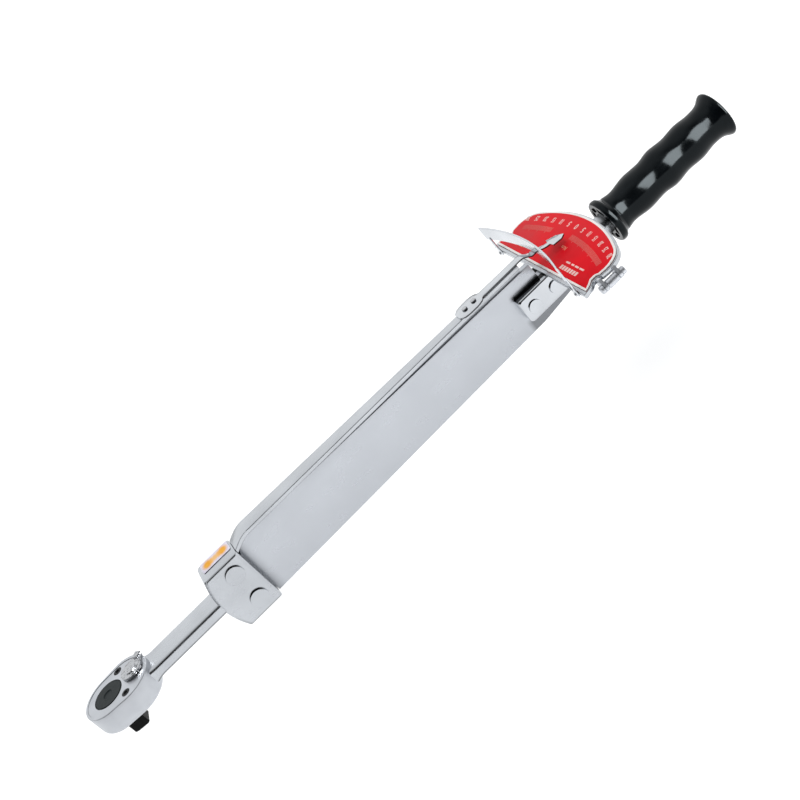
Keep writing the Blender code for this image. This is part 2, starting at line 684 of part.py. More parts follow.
def leaf_outline():
    """Side view (x, z) of the leaf spring, from its tang round to the rounded upper corner."""
    shoulder = BLOCK_RIGHT_X + 0.0004
    corner_x = LEAF_CORNER_X
    corner_z = AXIS_Z + leaf_half_height(corner_x)
    points = [(LEAF_TANG_X, TANG_TOP), (LEAF_TANG_X, TANG_BOTTOM), (shoulder, TANG_BOTTOM)]
    step_z = AXIS_Z + leaf_half_height(LEAF_STEP_X)
    points += [
        (shoulder, AXIS_Z - leaf_half_height(shoulder)),
        (LEAF_TAPER_END_X, AXIS_Z - leaf_half_height(LEAF_TAPER_END_X)),
        (LEAF_END_X, LEAF_END_BOTTOM), (LEAF_END_X, LEAF_LOW_TOP), (LEAF_STEP_X + 0.0015, LEAF_LOW_TOP),
        (LEAF_STEP_X, LEAF_LOW_TOP + 0.0015), (LEAF_STEP_X, step_z - 0.002), (LEAF_STEP_X - 0.002, step_z)]
    run = corner_x - shoulder
    rise = corner_z - TANG_TOP
    for i in range(9):
        angle = math.pi / 2.0 * i / 8
        points.append((corner_x - run * math.sin(angle), corner_z - rise * (1.0 - math.cos(angle))))
    return points


def build_leaf_spring():
    """Flat leaf that bends about Z when the grip is pulled."""
    shape = prism_y(leaf_outline(), -LEAF_HALF_THICKNESS, LEAF_HALF_THICKNESS)
    leaf = make_object("leaf_spring", shape, "spring_steel")
    for z in rivet_heights():
        cut(leaf, cylinder_y(BLOCK_RIVET_RADIUS + GAP, -0.01, 0.01, BLOCK_RIVET_X, z))
    for x in CLAMP_RIVET_X:
        cut(leaf, cylinder_y(CLAMP_RIVET_RADIUS + GAP, -0.01, 0.01, x, CLAMP_RIVET_Z))
    return smooth(leaf)


def pointer_top(x):
    """Height of the pointer bar's upper face."""
    share = (x - POINTER_START_X) / (POINTER_END_X - POINTER_START_X)
    level = POINTER_TOP_START + (POINTER_TOP_END - POINTER_TOP_START) * share
    climb = min(1.0, (x - POINTER_START_X) / POINTER_RISE_X)
    return level - POINTER_RISE * (1.0 - math.sin(math.pi / 2.0 * climb))


def pointer_half_width(x):
    """Half width of the pointer bar."""
    share = (x - POINTER_START_X) / (POINTER_END_X - POINTER_START_X)
    return POINTER_HALF_WIDTH_START + (POINTER_HALF_WIDTH_END - POINTER_HALF_WIDTH_START) * share


def build_pointer_bar():
    """Stiff unloaded bar that carries the needle, with a flange riveted beside the leaf."""
    middle_x = (POINTER_START_X + POINTER_END_X) / 2.0
    stations = [POINTER_START_X + POINTER_RISE_X * i / 6 for i in range(7)] + [middle_x, POINTER_END_X]
    chamfer = POINTER_CHAMFER
    sections = []
    for x in stations:
        half = pointer_half_width(x)
        top = pointer_top(x)
        low = top - POINTER_THICKNESS
        corners = [(half, low), (half, top - chamfer), (half - chamfer, top), (chamfer - half, top),
                   (-half, top - chamfer), (-half, low)]
        sections.append([(x, y, z) for y, z in corners])
    bar = make_object("pointer_bar", shape_from_sections(sections), "nickel")
    near = LEAF_HALF_THICKNESS + GAP
    corner = BLOCK_RIGHT_X + 0.0006
    under_bar = [(x, pointer_top(x) - 0.0015) for x in (0.1470, 0.1410, 0.1350)]
    flange = [(LEAF_TANG_X, FLANGE_TOP), (LEAF_TANG_X, FLANGE_BOTTOM), (corner, FLANGE_BOTTOM)]
    flange += [(0.1420, 0.0400)] + under_bar + [(corner, FLANGE_TOP)]
    add(bar, prism_y(flange, near, near + FLANGE_THICKNESS))
    for z in rivet_heights():
        cut(bar, cylinder_y(BLOCK_RIVET_RADIUS + GAP, 0.0, 0.012, BLOCK_RIVET_X, z))
    for x in NEEDLE_SCREW_X:
        top = pointer_top(x)
        cut(bar, cylinder_z(NEEDLE_SCREW_RADIUS + GAP, top - 0.0060, top + 0.002, 12, (x, 0.0)))
    return smooth(bar)


def domed_rivet(radius, head_radius, height, seat, count=24):
    """Rivet about Z, centred on the origin, with a low dome on each end."""
    steps = 5
    dome = []
    for i in range(steps + 1):
        angle = math.pi / 2.0 * i / steps
        dome.append((head_radius * math.cos(angle), seat + height * math.sin(angle)))
    profile = [(r, -z) for r, z in reversed(dome)] + [(radius, -seat), (radius, seat)] + dome
    profile[0] = (0.0, profile[0][1])
    profile[-1] = (0.0, profile[-1][1])
    return lathe(profile, count)


def build_clamp_rivets():
    """Two large rivets through block, flange and leaf."""
    seat = BLOCK_HALF_THICKNESS + GAP
    rivets = []
    for z in rivet_heights():
        rivet = domed_rivet(BLOCK_RIVET_RADIUS, BLOCK_RIVET_HEAD, BLOCK_RIVET_HEIGHT, seat, 28)
        rivets.append(moved(rivet, (BLOCK_RIVET_X, 0.0, z), AXIS_TO_FRONT))
    make_set("clamp_rivet", rivets, "nickel")


def build_clamp_label():
    """Thin adhesive label on top of the clamp block."""
    bottom = AXIS_Z + BLOCK_HALF_HEIGHT + GAP
    low, high = LABEL_CORNERS
    return make_object("clamp_label", box((*low, bottom), (*high, bottom + LABEL_THICKNESS)), "label_film")


def needle_stations():
    """Stations (x, half width, underside height) along the needle."""
    rest = pointer_top(NEEDLE_LUG_X[0]) + GAP
    end = pointer_top(POINTER_END_X) + GAP
    low = NEEDLE_LEVEL_Z
    lug_start, lug_end = NEEDLE_LUG_X
    wide = NEEDLE_LUG_HALF_WIDTH
    return [
        (lug_start, 0.0045, rest), (lug_start + 0.0030, wide * 0.86, rest - 0.00003),
        (lug_start + 0.0075, wide, rest - 0.00008), (lug_end - 0.0075, wide, rest - 0.00015),
        (lug_end - 0.0030, wide * 0.80, rest - 0.00019), (lug_end, 0.0043, rest - 0.00022),
        (POINTER_END_X, 0.0038, end), (NEEDLE_STEP_X[0], 0.0036, end),
        (NEEDLE_STEP_X[1], 0.0026, low), (NEEDLE_ARROW_X - 0.0035, 0.0016, low - 0.0002),
        (NEEDLE_ARROW_X, 0.0017, low - 0.0005), (NEEDLE_ARROW_X + 0.0018, 0.0050, low - 0.0009),
        (NEEDLE_TIP_X - 0.0040, 0.0037, NEEDLE_TIP_Z + 0.0010), (NEEDLE_TIP_X, 0.0004, NEEDLE_TIP_Z),
    ]


def build_needle():
    """Thin pointer needle with its screwed lug and arrow tip."""
    sections = []
    for x, half, low in needle_stations():
        high = low + NEEDLE_THICKNESS
        sections.append([(x, half, low), (x, half, high), (x, -half, high), (x, -half, low)])
    needle = make_object("needle", shape_from_sections(sections), "polished_chrome")
    for x in NEEDLE_SCREW_X:
        top = pointer_top(x)
        cut(needle, cylinder_z(NEEDLE_SCREW_RADIUS + 0.0004, top - 0.002, top + 0.006, 12, (x, 0.0)))
    return smooth(needle, 25.0)


def build_needle_screws():
    """Two small screws that hold the needle and set its zero."""
    screws = []
    for x in NEEDLE_SCREW_X:
        seat = pointer_top(x) + 2.0 * GAP + NEEDLE_THICKNESS
        foot = pointer_top(x) - 0.0028
        shank, head = NEEDLE_SCREW_RADIUS, NEEDLE_SCREW_HEAD
        profile = [
            (0.0, foot), (shank, foot), (shank, seat), (head, seat), (head - 0.0001, seat + 0.0009),
            (head - 0.0006, seat + 0.0012), (0.0, seat + 0.0012)]
        screws.append(moved(lathe(profile, 14), (x, 0.0, 0.0)))
    make_set("needle_screw", screws, "black_oxide")


# ---------------------------------------------------------------- handle group
def build_end_clamp():
    """Forged fork that grips the far end of the leaf and carries the rod."""
    start, end, corner = CLAMP_START_X, CLAMP_BLOCK_END_X, CLAMP_CORNER
    side = [(start + corner, CLAMP_BOTTOM), (end - corner, CLAMP_BOTTOM), (end, CLAMP_BOTTOM + corner),
            (end, CLAMP_TOP - corner), (end - corner, CLAMP_TOP), (start + corner, CLAMP_TOP),
            (start, CLAMP_TOP - corner), (start, CLAMP_BOTTOM + corner)]
    plain = prism_y(side, -CLAMP_HALF_THICKNESS, CLAMP_HALF_THICKNESS)
    fork = make_object("end_clamp", plain, "polished_chrome")
    bevel(fork, CLAMP_EDGE, angle=60.0)
    neck = box((CLAMP_SLOT_END_X, -CLAMP_NECK_HALF_THICKNESS, CLAMP_BOTTOM + corner),
               (CLAMP_NECK_END_X, CLAMP_NECK_HALF_THICKNESS, CLAMP_TOP - GAP))
    add(fork, neck, cylinder_x(CLAMP_BOSS_RADIUS, ROD_TENON_X, CLAMP_END_X))
    slot = LEAF_HALF_THICKNESS + GAP
    cut(fork,
        box((start - 0.001, -slot, CLAMP_BOTTOM - 0.002), (CLAMP_SLOT_END_X, slot, CLAMP_TOP + 0.002)),
        cylinder_x(ROD_TENON_RADIUS + GAP, ROD_TENON_X - GAP, CLAMP_END_X + 0.001),
        cylinder_z(ROD_PIN_RADIUS + GAP, CLAMP_BOTTOM - 0.001, CLAMP_TOP + 0.001, 16, (ROD_PIN_X, 0.0)))
    reach = CLAMP_HALF_THICKNESS + 0.001
    for x in CLAMP_RIVET_X:
        cut(fork, cylinder_y(CLAMP_RIVET_RADIUS + GAP, -reach, reach, x, CLAMP_RIVET_Z))
    return smooth(fork)


def build_end_clamp_rivets():
    """Two rivets through fork and leaf."""
    seat = CLAMP_HALF_THICKNESS + GAP
    rivets = []
    for x in CLAMP_RIVET_X:
        rivet = domed_rivet(CLAMP_RIVET_RADIUS, CLAMP_RIVET_HEAD, CLAMP_RIVET_HEIGHT, seat, 22)
        rivets.append(moved(rivet, (x, 0.0, CLAMP_RIVET_Z), AXIS_TO_FRONT))
    make_set("end_clamp_rivet", rivets, "polished_chrome")


def build_handle_rod():
    """Round rod with a tenon for the fork and a threaded stud for the grip nut."""
    edge = 0.0006
    shoulder = CLAMP_END_X + GAP
    profile = [
        (0.0, ROD_TENON_X), (ROD_TENON_RADIUS, ROD_TENON_X), (ROD_TENON_RADIUS, shoulder),
        (ROD_RADIUS, shoulder), (ROD_RADIUS, ROD_END_X - edge), (ROD_RADIUS - edge, ROD_END_X),
        (STUD_RADIUS, ROD_END_X),
        (STUD_RADIUS, STUD_END_X - edge), (STUD_RADIUS - edge, STUD_END_X), (0.0, STUD_END_X)]
    rod = make_object("handle_rod", on_long_axis(lathe(profile, 32)), "nickel")
    cut(rod, cylinder_z(ROD_PIN_RADIUS + GAP, AXIS_Z - 0.01, AXIS_Z + 0.01, 16, (ROD_PIN_X, 0.0)))
    smooth(rod)
    pin_bottom, pin_top = CLAMP_BOTTOM + CLAMP_CORNER + GAP, CLAMP_TOP - 2.0 * GAP
    pin = cylinder_z(ROD_PIN_RADIUS, pin_bottom, pin_top, 16, (ROD_PIN_X, 0.0))
    smooth(make_object("rod_pin", pin, "bright_steel"))


def plate_outline(margin=0.0):
    """Plan of the scale plate, grown by a margin: straight base, notched sides, bowed outer edge."""
    shoulder = PLATE_SHOULDER
    swing = math.atan2(shoulder.y, shoulder.x - PLATE_ARC_CENTRE_X)
    reach = (shoulder - Vector((PLATE_ARC_CENTRE_X, 0.0))).length
    round_radius = PLATE_ARC_RADIUS - reach
    half = PLATE_BASE_HALF_WIDTH + margin
    upper = [(PLATE_BASE_X - margin, half)] + [(PLATE_BASE_X + x, half + y) for x, y in PLATE_NOTCH]
    upper += arc(tuple(shoulder), round_radius + margin, math.pi / 2.0, swing, 9)
    outer = arc((PLATE_ARC_CENTRE_X, 0.0), PLATE_ARC_RADIUS + margin, swing, -swing, 20)[1:-1]
    return upper + outer + [(x, -y) for x, y in reversed(upper)]


def build_scale_plate():
    """Red scale plate."""
    smooth(make_object("scale_plate", prism_z(plate_outline(), PLATE_BOTTOM, PLATE_TOP), "red_enamel"))


def build_scale_frame():
    """Pressed frame under the plate, with two ears for each side bolt."""
    blank = prism_z(plate_outline(FRAME_MARGIN), FRAME_RIM_BOTTOM, FRAME_TOP)
    frame = make_object("scale_frame", blank, "nickel")
    hollow = plate_outline(FRAME_MARGIN - FRAME_WALL)
    sheet_bottom = FRAME_TOP - FRAME_SHEET
    cut(frame,
        prism_z(hollow, FRAME_RIM_BOTTOM - 0.001, sheet_bottom),
        box((PLATE_BASE_X - 0.01, -FRAME_WINDOW_HALF_WIDTH, FRAME_RIM_BOTTOM - 0.002),
            (PLATE_BASE_X + 0.002, FRAME_WINDOW_HALF_WIDTH, sheet_bottom)))
    for side in (-1.0, 1.0):
        inner, outer = sorted((side * (BOLT_Y - EAR_REACH), side * (BOLT_Y + EAR_HALF_HEIGHT)))
        for x in EAR_X:
            ear_top = FRAME_TOP - 0.0004
            add(frame, box((x, inner, BOLT_Z - EAR_HALF_HEIGHT), (x + EAR_THICKNESS, outer, ear_top)))
        cut(frame,
            cylinder_x(BOLT_RADIUS + GAP, BOLT_X[0] - 0.002, BOLT_X[1] + 0.002, side * BOLT_Y, BOLT_Z, 16),
            cylinder_z(SADDLE_SCREW_RADIUS + GAP, FRAME_RIM_BOTTOM, FRAME_TOP + 0.001, 12,
                       (SADDLE_SCREW_X, side * SADDLE_SCREW_Y)))
    smooth(frame)


def build_saddle():
    """Saddle that ties the frame to the rod, and its two screws."""
    start, end = SADDLE_X
    top = FRAME_TOP - FRAME_SHEET - GAP
    shape = box((start, -SADDLE_HALF_WIDTH, SADDLE_BOTTOM), (end, SADDLE_HALF_WIDTH, top))
    saddle = make_object("scale_saddle", shape, "nickel")
    cut(saddle, cylinder_x(ROD_RADIUS + GAP, start - 0.0015, end + 0.0015))
    for side in (-1.0, 1.0):
        centre = (SADDLE_SCREW_X, side * SADDLE_SCREW_Y)
        cut(saddle, cylinder_z(SADDLE_SCREW_RADIUS + GAP, SADDLE_BOTTOM - 0.001, FRAME_TOP, 12, centre))
    bevel(saddle, SADDLE_EDGE, angle=80.0)
    smooth(saddle)
    seat, tip = SADDLE_BOTTOM - GAP, FRAME_TOP - 0.0004
    shank, head = SADDLE_SCREW_RADIUS, SADDLE_SCREW_HEAD
    screws = []
    for side in (-1.0, 1.0):
        profile = [
            (0.0, seat - 0.0022), (head - 0.0003, seat - 0.0022), (head, seat - 0.0018), (head, seat),
            (shank, seat), (shank, tip), (0.0, tip)]
        screws.append(moved(lathe(profile, 16), (SADDLE_SCREW_X, side * SADDLE_SCREW_Y, 0.0)))
    make_set("saddle_screw", screws, "bright_steel")


def build_frame_bolts():
    """Turned studs along the sides of the scale frame, thicker between the ears."""
    start, end = BOLT_X
    head_end, body_start = EAR_X[0] - GAP, EAR_X[0] + EAR_THICKNESS + GAP
    body_end, nut_start = EAR_X[1] - GAP, EAR_X[1] + EAR_THICKNESS + GAP
    head, nut, edge = BOLT_HEAD_RADIUS, BOLT_NUT_RADIUS, 0.0004
    bolts = []
    for side in (-1.0, 1.0):
        profile = [
            (0.0, start), (head - edge, start), (head, start + edge), (head, head_end),
            (BOLT_RADIUS, head_end), (BOLT_RADIUS, body_start), (BOLT_BODY_RADIUS, body_start),
            (BOLT_BODY_RADIUS, body_end),
            (BOLT_RADIUS, body_end), (BOLT_RADIUS, nut_start), (nut, nut_start), (nut, end - edge),
            (nut - edge, end), (0.0, end)]
        bolts.append(moved(lathe(profile, 18), (0.0, side * BOLT_Y, BOLT_Z), AXIS_TO_X))
    make_set("frame_bolt", bolts, "bright_steel")


def curved_strip(columns, radius, thickness):
    """Close a bent sheet-metal strip from (angle, bottom, top) columns."""
    sections = []
    for angle, low, high in columns:
        corners = []
        for offset, z in ((-0.5, low), (0.5, low), (0.5, high), (-0.5, high)):
            reach = radius + offset * thickness
            corners.append((GUARD_APEX_X - radius + reach * math.cos(angle), reach * math.sin(angle), z))
        sections.append(corners)
    return shape_from_sections(sections)


def build_pointer_guard():
    """Bowed strip that bridges the needle, with a flat leg at each end riveted to the frame's front rim."""
    end = math.asin(GUARD_HALF_WIDTH / GUARD_RADIUS)
    steps = 24
    columns = [(-end + 2.0 * end * i / steps, GUARD_BOTTOM, GUARD_TOP) for i in range(steps + 1)]
    strip = curved_strip(columns, GUARD_RADIUS, GUARD_THICKNESS)
    guard = make_object("pointer_guard", strip, "polished_chrome")
    leg_start, leg_end = GUARD_LEG_X
    rim_inside = PLATE_BASE_X - FRAME_MARGIN + FRAME_WALL
    rivets = []
    for side in (-1.0, 1.0):
        inner, outer = sorted((side * (GUARD_HALF_WIDTH - GUARD_LEG_WIDTH), side * GUARD_HALF_WIDTH))
        add(guard, box((leg_start, inner, GUARD_LEG_BOTTOM), (leg_end, outer, GUARD_LEG_TOP)))
        middle = side * (GUARD_HALF_WIDTH - GUARD_LEG_WIDTH / 2.0)
        hole_start, hole_end = leg_start - 0.001, rim_inside + 0.001
        for piece in (guard, bpy.data.objects["scale_frame"]):
            cut(piece, cylinder_x(GUARD_RIVET_RADIUS + GAP, hole_start, hole_end, middle, GUARD_RIVET_Z, 12))
        face, tip = leg_start - GAP, rim_inside - 0.0002
        head, shank = GUARD_RIVET_HEAD, GUARD_RIVET_RADIUS
        profile = [
            (0.0, face - 0.0008), (head * 0.7, face - 0.0007), (head, face - 0.0002), (head, face),
            (shank, face), (shank, tip), (0.0, tip)]
        rivets.append(moved(lathe(profile, 14), (0.0, middle, GUARD_RIVET_Z), AXIS_TO_X))
    smooth(guard)
    make_set("guard_rivet", rivets, "bright_steel")


def grip_radius(x):
    """Outer radius of the finger-waved part of the grip."""
    keys = (GRIP_NECK,) + GRIP_WAVES
    for (start, first), (end, second) in zip(keys, keys[1:]):
        if x <= end:
            share = (x - start) / (end - start)
            return first + (second - first) * (1.0 - math.cos(math.pi * share)) / 2.0
    return keys[-1][1]


def grip_profile():
    """Outline (radius, x) of the grip from its head-end flange to its flared end."""
    start, end = GRIP_START_X, GRIP_END_X
    flange = GRIP_FLANGE_RADIUS
    points = [
        (0.0, start), (flange - 0.0012, start), (flange - 0.0002, start + 0.0010), (flange, start + 0.0026),
        (flange - 0.0004, start + 0.0046), (flange - 0.0020, start + 0.0062)]
    wave_start, wave_end = GRIP_NECK[0], GRIP_WAVES[-1][0]
    count = 24
    for i in range(count + 1):
        x = wave_start + (wave_end - wave_start) * i / count
        points.append((grip_radius(x), x))
    points += [(0.0143, end - 0.0115), (0.0149, end - 0.0086), (0.0159, end - 0.0063), (0.0173, end - 0.0042),
               (0.0182, end - 0.0021), (0.0180, end - 0.0008), (0.0168, end), (0.0, end)]
    return points


def build_grip():
    """Moulded grip, its washer, nut and end plug."""
    grip = make_object("handle_grip", on_long_axis(lathe(grip_profile(), 40)), "black_plastic")
    inner, outer = GRIP_POCKET_RADII
    for i in range(GRIP_RIBS):
        start = 2.0 * math.pi * i / GRIP_RIBS + GRIP_RIB_HALF_ANGLE
        end = 2.0 * math.pi * (i + 1) / GRIP_RIBS - GRIP_RIB_HALF_ANGLE
        sector = arc((0.0, AXIS_Z), outer, start, end, 5) + arc((0.0, AXIS_Z), inner, end, start, 5)
        cut(grip, prism_x(sector, GRIP_START_X - 0.002, GRIP_START_X + GRIP_POCKET_DEPTH))
    rod_bore, stud_bore = ROD_RADIUS + GAP, STUD_RADIUS + GAP
    bore = [(0.0, GRIP_START_X - 0.002), (rod_bore, GRIP_START_X - 0.002), (rod_bore, ROD_END_X + GAP),
            (stud_bore, ROD_END_X + GAP), (stud_bore, NUT_SEAT_X), (NUT_RECESS_RADIUS, NUT_SEAT_X),
            (NUT_RECESS_RADIUS, GRIP_END_X + 0.002), (0.0, GRIP_END_X + 0.002)]
    cut(grip, on_long_axis(lathe(bore, 32)))
    smooth(grip)
    washer_end = NUT_SEAT_X + GAP + WASHER_THICKNESS
    washer = ring(stud_bore, WASHER_RADIUS, NUT_SEAT_X + GAP, washer_end, 28)
    smooth(make_object("grip_washer", on_long_axis(washer), "bright_steel"))
    nut_start, nut_end = washer_end + GAP, washer_end + GAP + NUT_LENGTH
    hexagon = circle(NUT_RADIUS, 6, (0.0, AXIS_Z))
    nut = make_object("grip_nut", prism_x(hexagon, nut_start, nut_end), "bright_steel")
    cut(nut, cylinder_x(stud_bore, nut_start - 0.001, nut_end + 0.001, count=24))
    smooth(nut)
    rim = WASHER_RADIUS
    plug = [(0.0, PLUG_START_X), (rim, PLUG_START_X), (rim, GRIP_END_X - 0.0004),
            (rim - 0.0006, GRIP_END_X + 0.0002), (0.0, GRIP_END_X + 0.0004)]
    smooth(make_object("grip_end_plug", on_long_axis(lathe(plug, 28)), "black_plastic"))


def main():
    """Build every piece of the wrench."""
    clear_scene()
    build_ratchet_head()
    build_head_cover()
    build_cover_screws()
    build_drive_spindle()
    build_detent()
    build_pawl()
    build_reversing_lever()
    build_leaf_spring()
    build_pointer_bar()
    build_clamp_rivets()
    build_clamp_label()
    build_needle()
    build_needle_screws()
    build_end_clamp()
    build_end_clamp_rivets()
    build_handle_rod()
    build_scale_plate()
    build_scale_frame()
    build_saddle()
    build_frame_bolts()
    build_pointer_guard()
    build_grip()


main()
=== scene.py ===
import json
import math

import bmesh
import bpy
from mathutils import Matrix, Vector


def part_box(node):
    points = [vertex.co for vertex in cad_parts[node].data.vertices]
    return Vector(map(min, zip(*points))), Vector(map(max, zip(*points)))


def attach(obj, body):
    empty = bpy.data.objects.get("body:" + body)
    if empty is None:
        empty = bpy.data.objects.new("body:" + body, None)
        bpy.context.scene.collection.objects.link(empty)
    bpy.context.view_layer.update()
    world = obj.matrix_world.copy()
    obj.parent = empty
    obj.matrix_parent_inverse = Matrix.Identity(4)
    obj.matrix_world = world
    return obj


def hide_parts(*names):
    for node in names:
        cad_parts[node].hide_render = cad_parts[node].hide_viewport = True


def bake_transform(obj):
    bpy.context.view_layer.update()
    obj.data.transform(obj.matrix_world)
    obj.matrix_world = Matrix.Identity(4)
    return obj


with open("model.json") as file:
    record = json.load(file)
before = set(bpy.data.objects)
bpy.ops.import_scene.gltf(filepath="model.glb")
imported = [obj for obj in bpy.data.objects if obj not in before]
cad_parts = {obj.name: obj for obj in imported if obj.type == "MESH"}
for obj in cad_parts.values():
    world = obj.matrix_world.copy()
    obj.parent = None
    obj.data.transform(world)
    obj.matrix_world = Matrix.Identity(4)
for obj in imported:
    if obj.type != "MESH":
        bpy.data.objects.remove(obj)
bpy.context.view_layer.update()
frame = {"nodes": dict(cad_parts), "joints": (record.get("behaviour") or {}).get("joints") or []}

MM = 0.001
QUARTER = math.pi / 2.0
HEAD = "head_side"
HANDLE = "handle_side"


def lo(node):
    """Lowest corner of a CAD node."""
    return Vector(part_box(node)[0])


def hi(node):
    """Highest corner of a CAD node."""
    return Vector(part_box(node)[1])


def middle_of(node):
    """Centre of a CAD node's box."""
    return (lo(node) + hi(node)) / 2.0


def between(first, second, share):
    """Value that lies a share of the way from the first to the second."""
    return first + (second - first) * share


# ---- places, read from the CAD or repeated from the part's source
AXIS_Z = middle_of("grip_end_plug").z
HEAD_TOP = hi("drive_spindle").z
COVER_LOW = lo("head_cover").z
HEAD_RADIUS = -lo("ratchet_head").x
HEAD_REAR_RADIUS = hi("ratchet_head").y
HEAD_REAR_X = hi("head_cover").x + 0.0030 - HEAD_REAR_RADIUS
HEAD_BOTTOM = 0.0155
CAVITY_FLOOR = 0.0190
COVER_INSET = 0.0027
BLOCK_RIGHT_X = hi("ratchet_head").x
BLOCK_LEFT_X = 0.1016
BLOCK_BULGE = 0.0055
BLOCK_HALF_THICKNESS = 0.0122
BLOCK_HALF_HEIGHT = hi("ratchet_head").z - AXIS_Z
LEAF_LOW = lo("leaf_spring")
LEAF_HIGH = hi("leaf_spring")
LEAF_HALF = LEAF_HIGH.y
SLOT_HALF = LEAF_HALF + 0.0003
PLATE_LOW = lo("scale_plate")
PLATE_HIGH = hi("scale_plate")
FRAME_TOP = hi("scale_frame").z
FRAME_BOLTS = ("frame_bolt_1", "frame_bolt_2")
GUARD_LOW = lo("pointer_guard")
GUARD_HIGH = hi("pointer_guard")
CLAMP_LOW = lo("end_clamp")
CLAMP_HALF = hi("end_clamp").y
GRIP_LOW = lo("handle_grip")
GRIP_HIGH = hi("handle_grip")
CLAMP_TOP = 0.0350
CLAMP_SLOT_END_X = 0.4225
CLAMP_BLOCK_END_X = 0.4245
BOSS_START_X = 0.4255
BOSS_END_X = 0.4380
PIVOT_X = next(joint for joint in frame["joints"] if joint["name"] == "beam_flex")["pos_m"][0]


# ---- materials
def shaded(colour, share):
    """A colour times a share."""
    return tuple(share * c for c in colour)


def shader_of(name, colour, roughness, metallic):
    """New Principled material; returns it with its tree and shader."""
    mat = bpy.data.materials.new(name)
    mat.use_nodes = True
    tree = mat.node_tree
    shader = tree.nodes["Principled BSDF"]
    for socket, value in (("Base Color", (*colour, 1.0)), ("Roughness", roughness), ("Metallic", metallic)):
        shader.inputs[socket].default_value = value
    mat.diffuse_color = (*colour, 1.0)
    return mat, tree, shader


def noise_at(tree, scale, detail, stretch=(1.0, 1.0, 1.0), rough=0.5):
    """Noise in object space, in features per metre, stretched per axis."""
    coords = tree.nodes.new("ShaderNodeTexCoord")
    mapping = tree.nodes.new("ShaderNodeMapping")
    mapping.inputs["Scale"].default_value = stretch
    noise = tree.nodes.new("ShaderNodeTexNoise")
    for socket, value in (("Scale", scale), ("Detail", detail), ("Roughness", rough)):
        noise.inputs[socket].default_value = value
    tree.links.new(coords.outputs["Object"], mapping.inputs["Vector"])
    tree.links.new(mapping.outputs["Vector"], noise.inputs["Vector"])
    return noise.outputs["Fac"]


def ranged(tree, value, low, high, start=0.3, end=0.7):
    """Map the stretch from start to end onto the stretch from low to high, and hold it beyond."""
    node = tree.nodes.new("ShaderNodeMapRange")
    for name, bound in (("From Min", start), ("From Max", end), ("To Min", low), ("To Max", high)):
        node.inputs[name].default_value = bound
    tree.links.new(value, node.inputs["Value"])
    return node.outputs["Result"]


def mixed(tree, factor, first, second):
    """Mix two colours, each a tuple or a socket, by a factor socket."""
    node = tree.nodes.new("ShaderNodeMix")
    node.data_type = "RGBA"
    tree.links.new(factor, node.inputs["Factor"])
    for socket, value in ((node.inputs[6], first), (node.inputs[7], second)):
        if isinstance(value, tuple):
            socket.default_value = (*value, 1.0)
        else:
            tree.links.new(value, socket)
    return node.outputs[2]


def combined(tree, operation, first, second):
    """Maths on two values."""
    node = tree.nodes.new("ShaderNodeMath")
    node.operation = operation
    tree.links.new(first, node.inputs[0])
    tree.links.new(second, node.inputs[1])
    return node.outputs[0]


def bumped(tree, shader, height, distance):
    """Feed a height into the shader's normal."""
    node = tree.nodes.new("ShaderNodeBump")
    node.inputs["Distance"].default_value = distance
    tree.links.new(height, node.inputs["Height"])
    tree.links.new(node.outputs["Normal"], shader.inputs["Normal"])


def textured(tree, shader, tone, gloss, height, distance):
    """Feed a colour, a roughness and a bump into the shader."""
    tree.links.new(tone, shader.inputs["Base Color"])
    tree.links.new(gloss, shader.inputs["Roughness"])
    bumped(tree, shader, height, distance)


def edge_mask(tree, radius):
    """1 on sharp edges, 0 on flats."""
    bevel = tree.nodes.new("ShaderNodeBevel")
    bevel.samples = 6
    bevel.inputs["Radius"].default_value = radius
    dot = tree.nodes.new("ShaderNodeVectorMath")
    dot.operation = "DOT_PRODUCT"
    tree.links.new(bevel.outputs["Normal"], dot.inputs[0])
    tree.links.new(tree.nodes.new("ShaderNodeNewGeometry").outputs["Normal"], dot.inputs[1])
    return ranged(tree, dot.outputs["Value"], 1.0, 0.0, 0.82, 0.985)


def component(tree, vector, axis):
    """One component of a vector socket."""
    split = tree.nodes.new("ShaderNodeSeparateXYZ")
    tree.links.new(vector, split.inputs["Vector"])
    return split.outputs[axis]


def coordinate(tree, axis):
    """One coordinate of the point being shaded, in the object's frame."""
    return component(tree, tree.nodes.new("ShaderNodeTexCoord").outputs["Object"], axis)


def facing(tree, axis):
    """One component of the surface normal."""
    return component(tree, tree.nodes.new("ShaderNodeNewGeometry").outputs["Normal"], axis)


def leaf_painted_shade(tree):
    """Painted shade on the leaf beside the head's block and under the end clamp."""
    x, z = coordinate(tree, "X"), coordinate(tree, "Z")
    near = ranged(tree, x, 0.92, 0.0, BLOCK_RIGHT_X, BLOCK_RIGHT_X + 0.0100)
    near = combined(tree, "MULTIPLY", near, near)
    along = ranged(tree, x, 0.0, 0.75, CLAMP_LOW.x - 0.0030, CLAMP_LOW.x + 0.0010)
    under = ranged(tree, z, 1.0, 0.0, CLAMP_LOW.z - 0.0035, CLAMP_LOW.z + 0.0005)
    return combined(tree, "MAXIMUM", near, combined(tree, "MULTIPLY", along, under))


def underside_painted_shade(tree):
    """Painted shade on faces that look down."""
    return ranged(tree, facing(tree, "Z"), 1.0, 0.0, -0.50, -0.12)


def rivet_rim_painted_shade(tree):
    """Painted shade on the upper rim of the rivet heads."""
    return ranged(tree, facing(tree, "Z"), 0.0, 1.0, 0.20, 0.55)


def below_head(tree):
    """Darker on the drive square, below the head."""
    return ranged(tree, coordinate(tree, "Z"), 1.0, 0.0, HEAD_BOTTOM - 0.0006, HEAD_BOTTOM)


